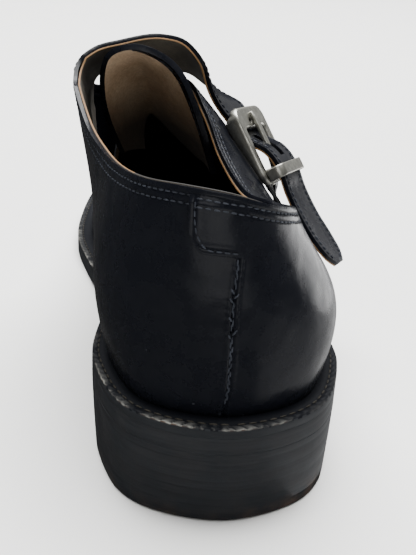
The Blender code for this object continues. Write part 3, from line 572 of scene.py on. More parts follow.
def raw_edge(colours):
    """Cut edge of veg-tanned leather: pale tan fibres in thin layers, darkened by handling."""
    made, tree, shader, where = blank("raw_tan_edge", Roughness=0.7, IOR=1.45)
    fibre = node(tree, "ShaderNodeTexNoise", {"Vector": where, "Scale": 1000 / 1.6, "Detail": 4.0}).outputs["Fac"]
    tone = node(tree, "ShaderNodeMix", {0: fibre, 6: colours.raw_edge[:], 7: colours.raw_edge_dark[:]},
                data_type="RGBA").outputs[2]
    tree.links.new(tone, shader.inputs["Base Color"])
    bump = node(tree, "ShaderNodeBump", {"Height": fibre, "Strength": 0.5, "Distance": 0.2 * MM}).outputs[0]
    tree.links.new(bump, shader.inputs["Normal"])
    return made


def burnished_sole(name, ink, streak, worn_and_highlit, shine):
    """Sole leather, inked black and burnished with wax: satin, streaked along its layers, paler where it is rubbed, and
    on the welt's edge also where a highlight is painted.
    """
    made, tree, shader, where = blank(name, IOR=1.5, Specular_IOR_Level=shine)
    # Streaks lie along the layers: 0.5 mm high and 30 mm long
    streaks = node(tree, "ShaderNodeMapping", {"Vector": where, "Scale": (0.05, 0.05, 1.6)}).outputs[0]
    streaks = node(tree, "ShaderNodeTexNoise", {"Vector": streaks, "Scale": 1000 / 1.2, "Detail": 4.0}).outputs["Fac"]
    blotch = node(tree, "ShaderNodeTexNoise", {"Vector": where, "Scale": 1000 / 8.0, "Detail": 6.0,
                                               "Roughness": 0.65}).outputs["Fac"]
    wear_and_painted_light = node(tree, "ShaderNodeAttribute", attribute_name="wear_and_painted_light").outputs["Fac"]
    tone = node(tree, "ShaderNodeMix", {0: streaks, 6: ink[:], 7: streak[:]},
                data_type="RGBA").outputs[2]
    rub_and_highlight = node(tree, "ShaderNodeMapRange", {"Value": blotch, "From Min": 0.42, "From Max": 0.62}).outputs["Result"]
    rub_and_highlight = node(tree, "ShaderNodeMath", {0: rub_and_highlight, 1: wear_and_painted_light}, operation="MULTIPLY").outputs[0]
    tone = node(tree, "ShaderNodeMix", {0: rub_and_highlight, 6: tone, 7: worn_and_highlit[:]}, data_type="RGBA").outputs[2]
    tree.links.new(tone, shader.inputs["Base Color"])
    gloss = node(tree, "ShaderNodeMapRange", {"Value": blotch, "From Min": 0.3, "From Max": 0.7, "To Min": 0.5,
                                              "To Max": 0.64}).outputs["Result"]
    tree.links.new(gloss, shader.inputs["Roughness"])
    low = node(tree, "ShaderNodeBump", {"Height": streaks, "Strength": 0.25, "Distance": 0.15 * MM}).outputs[0]
    fine = node(tree, "ShaderNodeBump", {"Height": blotch, "Strength": 0.3, "Distance": 0.25 * MM,
                                         "Normal": low}).outputs[0]
    tree.links.new(fine, shader.inputs["Normal"])
    return made


def waxed_thread(name, colour):
    """Waxed linen thread: twisted plies that catch light as slanted ribs."""
    made, tree, shader, where = blank(name, Roughness=0.5, IOR=1.5, Specular_IOR_Level=0.12)
    plies = node(tree, "ShaderNodeTexNoise", {"Vector": where, "Scale": 1000 / 0.5, "Detail": 2.0}).outputs["Fac"]
    soil = node(tree, "ShaderNodeTexNoise", {"Vector": where, "Scale": 1000 / 6.0, "Detail": 3.0}).outputs["Fac"]
    tone = node(tree, "ShaderNodeMapRange", {"Value": soil, "From Min": 0.3, "From Max": 0.7, "To Min": 0.55,
                                             "To Max": 1.15}).outputs["Result"]
    tone = node(tree, "ShaderNodeVectorMath", {0: colour[:3], 3: tone}, operation="SCALE").outputs[0]
    tree.links.new(tone, shader.inputs["Base Color"])
    bump = node(tree, "ShaderNodeBump", {"Height": plies, "Strength": 0.6, "Distance": 0.12 * MM}).outputs[0]
    tree.links.new(bump, shader.inputs["Normal"])
    return made


def antique_pewter(colours):
    """Cast zinc alloy plated to look like old pewter: grey, softly brushed, darker where polish has not reached, and
    with painted shade in its dents.
    """
    made, tree, shader, where = blank("antique_pewter", Metallic=1.0, Roughness=0.36)
    cast = node(tree, "ShaderNodeTexNoise", {"Vector": where, "Scale": 1000 / 2.4, "Detail": 5.0,
                                             "Roughness": 0.6}).outputs["Fac"]
    share = node(tree, "ShaderNodeMapRange", {"Value": cast, "From Min": 0.35, "From Max": 0.7}).outputs["Result"]
    tone = node(tree, "ShaderNodeMix", {0: share, 6: colours.pewter[:], 7: colours.pewter_dark[:]},
                data_type="RGBA").outputs[2]
    # Painted shade: the plating turns dark where the attribute marks the dents
    wear_and_painted_light = node(tree, "ShaderNodeAttribute", attribute_name="wear_and_painted_light").outputs["Fac"]
    tone = node(tree, "ShaderNodeMix", {0: wear_and_painted_light, 6: tone, 7: colours.pewter_dent_shade[:]},
                data_type="RGBA").outputs[2]
    tree.links.new(tone, shader.inputs["Base Color"])
    gloss = node(tree, "ShaderNodeMapRange", {"Value": cast, "From Min": 0.3, "From Max": 0.7, "To Min": 0.30,
                                              "To Max": 0.46}).outputs["Result"]
    tree.links.new(gloss, shader.inputs["Roughness"])
    bump = node(tree, "ShaderNodeBump", {"Height": cast, "Strength": 0.2, "Distance": 0.15 * MM}).outputs[0]
    tree.links.new(bump, shader.inputs["Normal"])
    return made


def studio_paper(colours):
    """Seamless paper: matt and nearly white, so that it lights the shoe from below."""
    made, tree, shader, where = blank("studio_paper", Roughness=0.9, IOR=1.4)
    fibre = node(tree, "ShaderNodeTexNoise", {"Vector": where, "Scale": 1000 / 40.0, "Detail": 3.0}).outputs["Fac"]
    tone = node(tree, "ShaderNodeMapRange", {"Value": fibre, "To Min": 0.985, "To Max": 1.0}).outputs["Result"]
    tone = node(tree, "ShaderNodeVectorMath", {0: colours.paper[:3], 3: tone}, operation="SCALE").outputs[0]
    tree.links.new(tone, shader.inputs["Base Color"])
    return made


def material(name):
    """Return a finish by its name, made once from the scene's colours."""
    if name in bpy.data.materials:
        return bpy.data.materials[name]
    colours = bpy.context.scene.shoe_colours
    makers = {
        "waxed_black_calf": lambda: waxed_calf(colours),
        # The tan lining takes painted shade: darkest below 85 mm, full colour above 103 mm
        "tan_kip_lining": lambda: grained_lining(name, colours.lining, colours.lining_dark, 0.72, 0.05, (85.0, 103.0)),
        "grey_suede_lining": lambda: grained_lining(name, colours.suede, colours.suede_dark, 0.9, 0.06),
        "black_sock": lambda: grained_lining(name, colours.sock, colours.sock_dark, 0.75, 0.05),
        "raw_tan_edge": lambda: raw_edge(colours),
        "burnished_sole_leather": lambda: burnished_sole(
            name, colours.sole, colours.sole_light, colours.sole_worn, 0.25),
        # Painted shade: the welt's top takes the calf's black as its ink, darker than the sole's edge
        "welt_top_painted_shade": lambda: burnished_sole(name, colours.calf, colours.sole, colours.welt_worn_and_highlit, 0.07),
        "black_thread": lambda: waxed_thread(name, colours.thread),
        "worn_welt_thread": lambda: waxed_thread(name, colours.welt_thread),
        "antique_pewter": lambda: antique_pewter(colours),
        "studio_paper": lambda: studio_paper(colours),
    }
    return makers[name]()


def colour(name, code, description):
    """Return a colour property whose default is an sRGB hex value."""
    return bpy.props.FloatVectorProperty(name=name, description=description, subtype="COLOR", size=4, min=0.0,
                                         max=1.0, default=hex_linear(code))


def length(name, millimetres, description):
    """Return a length property whose default is in millimetres."""
    return bpy.props.FloatProperty(name=name, description=description, default=millimetres * MM, min=0.0,
                                   subtype="DISTANCE", unit="LENGTH", precision=5)


class ShoeColours(bpy.types.PropertyGroup):
    """Colours of the shoe's finishes."""
    calf: colour("Calf", "#090A0F", "Black calf with a blue cast")
    calf_light: colour("Calf, brushed thin", "#12141A", "Black calf where the wax is thin")
    calf_worn: colour("Calf, worn", "#33363C", "Grey of rubbed edges and creases")
    dust: colour("Dust", "#8A8F96", "Specks on the polish")
    lining: colour("Lining", "#C3A98A", "Tan lining of the tongue")
    lining_dark: colour("Lining, soiled", "#97795B", "Tan lining where it is soiled")
    suede: colour("Suede", "#4B4336", "Drab lining of quarter and strap")
    suede_dark: colour("Suede, rubbed", "#332D24", "Drab lining where it is rubbed")
    sock: colour("Sock", "#121110", "Black sock on the insole")
    sock_dark: colour("Sock, rubbed", "#1E1B18", "Sock where it is rubbed")
    raw_edge: colour("Raw edge", "#8A673E", "Cut edge of the lining leather")
    raw_edge_dark: colour("Raw edge, soiled", "#5E4327", "Cut edge where it is soiled")
    sole: colour("Sole edge", "#14161A", "Inked sole leather")
    sole_light: colour("Sole edge, streaked", "#25282C", "Streaks in the ink")
    sole_worn: colour("Sole edge, rubbed", "#5A4638", "Brown leather under rubbed ink")
    # Grey of the welt's rubbed edge, which there also stands in for a painted highlight
    welt_worn_and_highlit: colour("Welt edge, rubbed", "#8F8E88", "Grey of the welt's rubbed edge")
    # Painted highlight: the black thread is coloured grey for the sheen it catches
    thread: colour("Thread", "#2E3138", "Black thread of the upper, rubbed grey")
    welt_thread: colour("Welt thread", "#35322C", "Thread of the welt, soiled")
    pewter: colour("Pewter", "#B4B3AA", "Plating of the buckle")
    pewter_dark: colour("Pewter, dull", "#888780", "Plating where it is dull")
    # Painted shade put into the buckle's dents
    pewter_dent_shade: colour("Pewter, pits", "#2B2A27", "Dark of the buckle's dents")
    paper: colour("Paper", "#F2F2F0", "Floor")


class ShoeSizes(bpy.types.PropertyGroup):
    """Sizes of the shoe's leather, seams and stitches."""
    leather_wall: length("Leather", 1.4, "Thickness of the calf")
    lining_wall: length("Lining", 0.7, "Thickness of the lining")
    edge_round: length("Edge", 0.28, "Rounding of cut edges")
    quarter_step: length("Quarter step", 1.2, "How far the vamp lies below the quarters")
    first_row: length("First row", 2.1, "Distance of the first stitch row from an edge")
    second_row: length("Second row", 4.5, "Distance of the second stitch row from an edge")
    row_groove: length("Row groove", 0.22, "How deep a stitch row pulls in the leather")
    seam_groove: length("Seam groove", 0.5, "Depth of the back seam")
    crease: length("Crease", 0.9, "Depth of the deepest crease of the vamp")
    stitch_pitch: length("Stitch pitch", 2.3, "Distance between stitches of the upper")
    stitch_length: length("Stitch length", 1.85, "Length of a stitch of the upper")
    stitch_width: length("Stitch width", 0.55, "Width of a stitch of the upper")
    welt_pitch: length("Welt pitch", 3.3, "Distance between stitches and wheel marks of the welt")
    welt_stitch: length("Welt stitch", 2.5, "Length of a stitch of the welt")
    wheel_depth: length("Wheel mark", 0.4, "Depth of the wheel marks on the welt")
    tongue_band: length("Tongue band", 1.5, "Width of the edge band of the tongue")


HEIGHT_BANDS = (
    # from height, to height, rows
    (0.0, 0.9, 64), (0.9, 1.0, 24),
)

# Half widths of a stitch row's groove and of the swell beside it
ROW_HALF = 0.42
SWELL_HALF = 0.8

# Puckers beside the back seam, all along it and where they are stronger
SEAM_FADE = 0.02
PUCKER = 0.13
PUCKER_PITCH = 2.7
PUCKER_PEAKS = (
    # height, spread, strength
    (0.13, 0.09, 0.16), (0.70, 0.06, 0.10),
)

# Creases of the vamp where the foot bends, seen from above
VAMP_CREASES = (
    # share of the full depth, half width, path of x, y
    (1.0, 2.6, ((-36.0, 207.0), (-12.0, 199.0), (12.0, 192.0), (38.0, 184.0))),
    (0.7, 2.2, ((-31.0, 194.0), (-10.0, 187.0), (14.0, 181.0), (35.0, 172.0))),
    (0.5, 2.4, ((-28.0, 220.0), (-8.0, 213.0), (16.0, 206.0), (36.0, 200.0))),
)


def spread(bands, step=1):
    """Return places spread over bands of a table, with their last end."""
    runs = [np.linspace(first, last, count // step, endpoint=False) for first, last, count in bands]
    return np.concatenate(runs + [[bands[-1][1]]])


def bell(distance, width):
    """Return a soft bump, 1 at no distance."""
    return np.exp(-(distance / width) ** 2)


def rib_drops(face):
    """Return how far each point of the ribs lies below its rib's top."""
    lengths = rib_lengths(face)
    return lengths[:, -1:] - lengths


def seam_share(heights):
    """Return the shares of the back seam at heights up the heel."""
    return np.interp(heights, column(BACK_SEAM, 0)[:, 0], column(BACK_SEAM, 1)[:, 0])


def tab_low_edge(shares, first, raised=0.0):
    """Return heights of the heel tab's lower edge, or of a line raised from it, with its corner at the first share."""
    past = np.clip(1 - (first - shares) / TAB_CORNER_SHARE, 0.0, 1.0)
    return TAB_LOW_EDGE + raised + TAB_CORNER * (1 - np.sqrt(1 - past ** 2))


def ease(share):
    """Return a share that starts and ends softly."""
    return share ** 2 * (3 - 2 * share)


def quarter_relief(shares, heights, drops, sizes):
    """Return how far the quarters' face stands out at the topline's stitch rows and the back seam."""
    deep = sizes.row_groove / MM
    first, second = sizes.first_row / MM, sizes.second_row / MM
    rows = -deep * bell(drops - first, ROW_HALF) - deep * bell(drops - second, ROW_HALF)
    swell = (first + second) / 2
    rows += deep * bell(drops - first / 2, SWELL_HALF) + 0.5 * deep * bell(drops - swell, SWELL_HALF)
    root = (shares > STRAP_ROOT_SHARES[0]) & (shares < STRAP_ROOT_SHARES[1])
    rows *= np.where(root, 0.0, 1.0)[:, None]
    side = (shares[:, None] - seam_share(heights)[None, :]) * SHARE_LENGTH
    up = (heights * BACK_RIB_LENGTH)[None, :]
    low = np.clip((TAB_LOW_EDGE + SEAM_FADE - heights) / SEAM_FADE, 0.0, 1.0)[None, :]
    puckers = PUCKER
    for place, width, strength in PUCKER_PEAKS:
        puckers = puckers + strength * bell(heights - place, width)
    groove = -sizes.seam_groove / MM * bell(side, 0.5) + 0.3 * bell(np.abs(side) - 1.5, 0.8)
    groove += puckers[None, :] * np.cos(2 * np.pi * up / PUCKER_PITCH + np.sign(side)) * bell(np.abs(side) - 1.7, 1.2)
    return rows + groove * low


def crease_relief(points, sizes):
    """Return how far the vamp's face stands out at its creases."""
    relief = np.zeros(points.shape[:-1])
    for share, width, path in VAMP_CREASES:
        path = np.array(path)
        at = np.linspace(0.0, 1.0, 60)
        line = smooth(np.linspace(0.0, 1.0, len(path)), path, at)
        away = np.linalg.norm(points[..., None, :2] - line, axis=-1)
        nearest = away.argmin(axis=-1)
        away = away.min(axis=-1)
        fade = np.sin(np.pi * at[nearest]) ** 0.7
        depth = share * sizes.crease / MM
        relief += fade * depth * (0.55 * bell(away - 2.1 * width, 1.2 * width) - bell(away, width))
    return relief


def strap_points(root, stations):
    """Return rows of the strap's outer face from its root, a row of the quarter's edge, to its tip."""
    tail = column(STRAP_TAIL, 0, 2, 1)
    rear = np.vstack([[row[0] for row in STRAP_INSTEP], buckle_place(tail * (1, -1, 1))])
    front = np.vstack([[row[1] for row in STRAP_INSTEP], buckle_place(tail)])
    knots = run_lengths((rear + front) / 2)
    at = np.linspace(0.0, knots[-1], stations)
    rear, front = smooth(knots, rear, at), smooth(knots, front, at)
    across = np.linspace(0.0, 1.0, len(root))[None, :, None]
    points = front[:, None] * (1 - across) + rear[:, None] * across
    fade = np.clip(1 - at / STRAP_ROOT_BLEND, 0.0, 1.0) ** 2
    return points + (root - points[0])[None] * fade[:, None, None]


def choose(piece, kind, chosen):
    """Select the chosen vertices or faces of a piece and leave it in edit mode."""
    pick(piece)
    bpy.ops.object.mode_set(mode="EDIT")
    bpy.ops.mesh.select_mode(type=kind)
    bpy.ops.mesh.select_all(action="DESELECT")
    bpy.ops.object.mode_set(mode="OBJECT")
    items = piece.data.vertices if kind == "VERT" else piece.data.polygons
    items.foreach_set("select", np.asarray(chosen, dtype=bool))
    bpy.ops.object.mode_set(mode="EDIT")


def cut_faces(piece, chosen):
    """Delete the chosen faces of a piece."""
    choose(piece, "FACE", chosen)
    bpy.ops.mesh.delete(type="FACE")
    bpy.ops.object.mode_set(mode="OBJECT")


def close_ends(piece):
    """Fill the open ends of a piece and turn its faces outward."""
    choose(piece, "FACE", np.ones(len(piece.data.polygons), bool))
    bpy.ops.mesh.fill_holes(sides=0)
    bpy.ops.mesh.select_all(action="SELECT")
    bpy.ops.mesh.normals_make_consistent(inside=False)
    bpy.ops.object.mode_set(mode="OBJECT")


def vertex_normals(piece):
    """Return the normals at a piece's vertices."""
    return np.array([vertex.normal for vertex in piece.data.vertices])


def quarter_and_strap(name, shares, heights, stations, sizes=None):
    """Lay the quarters and the strap that runs on from the inner one as one sheet, with relief if it has sizes."""
    face = wall_points(shares, heights)
    if sizes:
        face += wall_outward(shares, heights) * quarter_relief(shares, heights, rib_drops(face), sizes)[:, :, None]
    face[:, 0, 2] -= FOOT_DROP
    piece = sheet(name, face.transpose(1, 0, 2))
    rooted = (shares > STRAP_ROOT_SHARES[0] - ROOT_NEAR) & (shares < STRAP_ROOT_SHARES[1] + ROOT_NEAR)
    root = face[rooted, -1]
    strap = sheet(name + "_strap", strap_points(root, stations))
    places = (points_of(strap) - BUCKLE_CENTRE) @ BUCKLE_AXES.T
    middles = np.array([places[list(face.vertices)].mean(axis=0) for face in strap.data.polygons])
    hole = (np.abs(middles[:, 1]) < HOLE_HALF) & (middles[:, 0] > HOLE_ALONG[0]) & (middles[:, 0] < HOLE_ALONG[1])
    hole &= np.abs(middles[:, 2]) < HOLE_OUT
    cut_faces(strap, hole)
    pick(piece)
    strap.select_set(True)
    bpy.ops.object.join()
    weld(piece)
    away = np.linalg.norm(points_of(piece)[:, None] - root[None, ::3], axis=2).min(axis=1)
    choose(piece, "VERT", away < ROOT_SOFT)
    bpy.ops.mesh.vertices_smooth(factor=0.5, repeat=ROOT_SOFT_ROUNDS)
    bpy.ops.object.mode_set(mode="OBJECT")
    return piece


def set_wear_and_painted_light(piece, values):
    """Keep a value for each vertex, for rubbing and for painted highlight and shade, for the finishes that show them.
    """
    wear_and_painted_light = piece.data.attributes.new("wear_and_painted_light", "FLOAT", "POINT")
    wear_and_painted_light.data.foreach_set("value", np.asarray(values, dtype=np.float32))


def thicken(piece, wall, offset=-1.0, inside=0, rim=0):
    """Give a sheet its wall, and its inner face and cut edge their own materials."""
    finish_with(piece, "SOLIDIFY", thickness=wall, offset=offset, use_even_offset=False, use_quality_normals=True,
                material_offset=inside, material_offset_rim=rim)


class SHOE_OT_quarters(bpy.types.Operator):
    """Make the two quarters, with the strap as one piece with the inner one, in black calf"""
    bl_idname = "shoe.quarters"
    bl_label = "Quarters and strap"

    def execute(self, context):
        sizes = context.scene.shoe_sizes
        piece = quarter_and_strap("quarters", spread(RIB_BANDS), spread(HEIGHT_BANDS), STRAP_STATIONS, sizes)
        cover(piece, material("waxed_black_calf"))
        thicken(piece, sizes.leather_wall)
        round_edges(piece, sizes.edge_round / MM)
        smooth_shading(piece)
        settle(piece, "black_leather", "upper", "strap")
        return {"FINISHED"}


class SHOE_OT_lining(bpy.types.Operator):
    """Make the lining of the quarters and the strap, whose cut edge shows tan beside the calf"""
    bl_idname = "shoe.lining"
    bl_label = "Lining"
    CLEARANCE = 0.06
    INSIDE, CUT_EDGE, TAN_INSIDE, BLACK_EDGE = 1, 2, 3, 4
    # Round the heel the cut edge is black, and the outer quarter is tan inside, below its collar
    HEEL_TO_Y = 30.0
    OUTER_FROM_X = 0.0
    COLLAR_Z = 100.0

    def execute(self, context):
        sizes = context.scene.shoe_sizes
        shares = spread(RIB_BANDS[1:], 2)
        piece = quarter_and_strap("lining", shares, spread(HEIGHT_BANDS, 3), STRAP_STATIONS // 2)
        inward = sizes.leather_wall / MM + self.CLEARANCE
        place_points(piece, points_of(piece) - vertex_normals(piece) * inward)
        cover(piece, material("grey_suede_lining"), material("grey_suede_lining"), material("raw_tan_edge"),
              material("tan_kip_lining"), material("black_sock"))
        thicken(piece, sizes.lining_wall, inside=self.INSIDE, rim=self.CUT_EDGE)
        round_edges(piece, sizes.edge_round / MM)
        for face in piece.data.polygons:
            x, y, z = to_table(face.center)
            if face.material_index == self.CUT_EDGE and y < self.HEEL_TO_Y:
                face.material_index = self.BLACK_EDGE
            if face.material_index == self.INSIDE and x > self.OUTER_FROM_X and z < self.COLLAR_Z:
                face.material_index = self.TAN_INSIDE
        smooth_shading(piece)
        settle(piece, "lined_leather")
        return {"FINISHED"}


class SHOE_OT_vamp(bpy.types.Operator):
    """Make the vamp, whose rear edge lies under the quarters and whose top bends in creases"""
    bl_idname = "shoe.vamp"
    bl_label = "Vamp"
    STATIONS = 120
    ROWS = 56
    LAP = 1.6
    TOE_FROM = 262.0
    RIDGE_ROUNDS = 40
    RIDGE_ROWS = 9
    RIDGE_PULL = 0.35
    TIGHT_WELD = 0.001
    CREASE_WEAR = 0.25
    MOST_WEAR = 0.3

    def execute(self, context):
        sizes = context.scene.shoe_sizes
        along = np.linspace(THROAT, 1.0, self.STATIONS)
        heights = np.linspace(0.0, 1.0, self.ROWS)
        safe = np.clip(along, THROAT + 2 * SLOPE_STEP, 1.0 - 2 * SLOPE_STEP)
        halves = []
        for side in (1, -1):
            face = wall_points(side * along, heights)
            sunk = face - wall_outward(side * safe, heights) * sizes.quarter_step / MM
            sunk[:, -1] = face[:, -1] - (0.0, 0.0, sizes.quarter_step / MM)
            sunk[-1, :, 0] = face[-1, :, 0]
            sunk[:, 0, 2] -= 2 * FOOT_DROP
            halves.append(sunk)
        halves[0][-1] = halves[1][-1] = (halves[0][-1] + halves[1][-1]) / 2
        points = np.concatenate([halves[0], halves[1][:, -2::-1]], axis=1)
        ridge = self.ROWS - 1
        for _ in range(self.RIDGE_ROUNDS):
            for place in range(ridge - self.RIDGE_ROWS, ridge + self.RIDGE_ROWS + 1):
                middle = (points[:, place - 1] + points[:, place + 1]) / 2
                points[:-1, place] += self.RIDGE_PULL * (middle - points[:, place])[:-1]
        back = unit(points[0] - points[2])
        across = np.abs(np.arange(points.shape[1]) - ridge) / ridge
        lap = points[0] + back * (1.0 + (self.LAP - 1.0) * np.clip(across * 4, 0, 1))[:, None]
        points = np.concatenate([lap[None], points])
        piece = sheet("vamp", points)
        weld(piece, within=self.TIGHT_WELD)
        places = points_of(piece)
        relief = crease_relief(places, sizes)
        place_points(piece, places + vertex_normals(piece) * relief[:, None])
        set_wear_and_painted_light(piece, np.clip(-relief * self.CREASE_WEAR, 0.0, self.MOST_WEAR))
        cover(piece, material("waxed_black_calf"), material("tan_kip_lining"))
        thicken(piece, sizes.leather_wall, inside=1, rim=1)
        for face in piece.data.polygons:
            if to_table(face.center)[1] > self.TOE_FROM:
                face.material_index = 0
        smooth_shading(piece)
        settle(piece, "black_leather")
        return {"FINISHED"}


class SHOE_OT_heel_tab(bpy.types.Operator):
    """Make the tail of the outer quarter that laps over the back seam, a step only at its inner and lower edge"""
    bl_idname = "shoe.heel_tab"
    bl_label = "Heel tab"
    COLUMNS = 70
    ROWS = 44
    WALL = 1.15
    LIFT = 0.05
    SIDE_FADE = 0.046
    TOP_FADE = 0.035
    THINNEST = 0.04

    def execute(self, context):
        shares = np.linspace(TAB_SHARES[1], TAB_SHARES[0], self.COLUMNS)
        low = tab_low_edge(shares, TAB_SHARES[1])
        rise = np.linspace(0.0, 1.0, self.ROWS)[None, :]
        heights = low[:, None] * (1 - rise) + TAB_TOP * rise
        face, out = wall_points(shares, heights), wall_outward(shares, heights)
        fade_side = np.clip((shares - TAB_SHARES[0]) / self.SIDE_FADE, 0.0, 1.0)[:, None]
        fade_top = np.clip((TAB_TOP - heights) / self.TOP_FADE, 0.0, 1.0)
        fade = self.THINNEST + (1 - self.THINNEST) * ease(fade_side) * ease(fade_top)
        edge = np.minimum((heights - low[:, None]) * TAB_RIB_LENGTH, (TAB_SHARES[1] - shares)[:, None] * SHARE_LENGTH)
        pulled = -0.2 * bell(edge - TAB_ROW, 0.45) + 0.12 * bell(edge - 3.2, 1.0)
        base = face + out * self.LIFT
        top = face + out * (self.LIFT + fade * (self.WALL + pulled))[:, :, None]
        piece = sheet("heel_tab_leather", base.transpose(1, 0, 2))
        choose(piece, "FACE", np.ones(len(piece.data.polygons), bool))
        bpy.ops.mesh.extrude_region_move()
        bpy.ops.object.mode_set(mode="OBJECT")
        raised = np.array([vertex.select for vertex in piece.data.vertices])
        places = points_of(piece)
        order = [np.argmin(np.linalg.norm(base.transpose(1, 0, 2).reshape(-1, 3) - place, axis=1))
                 for place in places[raised]]
        places[raised] = top.transpose(1, 0, 2).reshape(-1, 3)[order]
        place_points(piece, places)
        weld(piece, outward=True)
        cover(piece, material("waxed_black_calf"))
        round_edges(piece, 0.3)
        smooth_shading(piece)
        settle(piece, "black_leather", "heel_tab")
        return {"FINISHED"}


class SHOE_OT_tongue(bpy.types.Operator):
    """Make the tongue: calf outside, tan lining inside, with a calf band turned over its edge"""
    bl_idname = "shoe.tongue"
    bl_label = "Tongue"
    COLUMNS = 80
    ROWS = 60
    EDGE_ROUND = 0.7
    # The edge band tapers towards the inner side, and is left off low on that side
    BAND_FROM_X = -34.0
    BAND_TAPER = 12.0
    BAND_LOW_Z = 100.0
    BAND_INNER_X = -20.0

    def execute(self, context):
        sizes = context.scene.shoe_sizes
        arches = np.array(TONGUE)
        across = np.linspace(0.0, 1.0, arches.shape[1])
        lengthways = np.linspace(0.0, 1.0, len(arches))
        rows = np.array([smooth(across, arch, np.linspace(0.0, 1.0, self.COLUMNS)) for arch in arches])
        points = np.stack([smooth(lengthways, rows[:, place], np.linspace(0.0, 1.0, self.ROWS))
                           for place in range(self.COLUMNS)], axis=1)
        piece = sheet("tongue_leather", points)
        cover(piece, material("waxed_black_calf"), material("tan_kip_lining"))
        thicken(piece, TONGUE_WALL * MM, inside=1)
        rear = points[0]
        for face in piece.data.polygons:
            if face.material_index == 1:
                middle = to_table(face.center)
                banded = middle[2] > self.BAND_LOW_Z or middle[0] > self.BAND_INNER_X
                band = np.clip((middle[0] - self.BAND_FROM_X) / self.BAND_TAPER, 0.0, 1.0) if banded else 0.0
                if np.linalg.norm(rear - middle, axis=1).min() < band * (sizes.tongue_band / MM + TONGUE_WALL):
                    face.material_index = 0
        round_edges(piece, self.EDGE_ROUND, segments=3)
        smooth_shading(piece)
        settle(piece, "lined_leather", "tongue")
        return {"FINISHED"}


SIDE_STATIONS = 640
SIDE_LENGTH = 350.0


def ring_shares(count):
    """Return shares once round the sole's edge, from the heel along the inner side and back along the outer side."""
    half = np.linspace(0.0, 1.0, count)
    return np.concatenate([half, -half[-2::-1]])


def edge_rows(shares, section):
    """Return rows of points round the sole, one for each inset from its edge and rise from its underside."""
    rows = []
    for inset, rise in section:
        edge, _ = edge_at(shares, inset)
        rows.append(np.column_stack([edge, level(UNDERSIDE, edge[:, 1]) + rise]))
    return np.array(rows)


def fan_rows(ring, base, shares, axis_from, axis_to, count):
    """Return rows of points from a ring in to a line along the middle of the sole."""
    places = np.linspace(0.0, 1.0, 200)
    middle = (edge_at(places)[0] + edge_at(-places)[0]) / 2
    y = np.clip(np.interp(np.abs(shares), places, middle[:, 1]), axis_from, axis_to)
    centre = np.column_stack([np.interp(y, middle[:, 1], middle[:, 0]), y])
    rows = []
    for share in np.linspace(0.0, 1.0, count)[1:]:
        flat = ring[:, :2] * (1 - share) + centre * share
        rows.append(np.column_stack([flat, level(UNDERSIDE, flat[:, 1]) + base]))
    return rows


def sole_layer(name, shares, section, axis_from=36.0, axis_to=266.0, count=9):
    """Make a full-length layer of the sole from the section of its edge, closed over its top and bottom."""
    rim = edge_rows(shares, section)
    under = fan_rows(rim[0], section[0][1], shares, axis_from, axis_to, count)
    over = fan_rows(rim[-1], section[-1][1], shares, axis_from, axis_to, count)
    piece = sheet(name, np.array(under[::-1] + list(rim) + over))
    weld(piece, outward=True)
    return piece


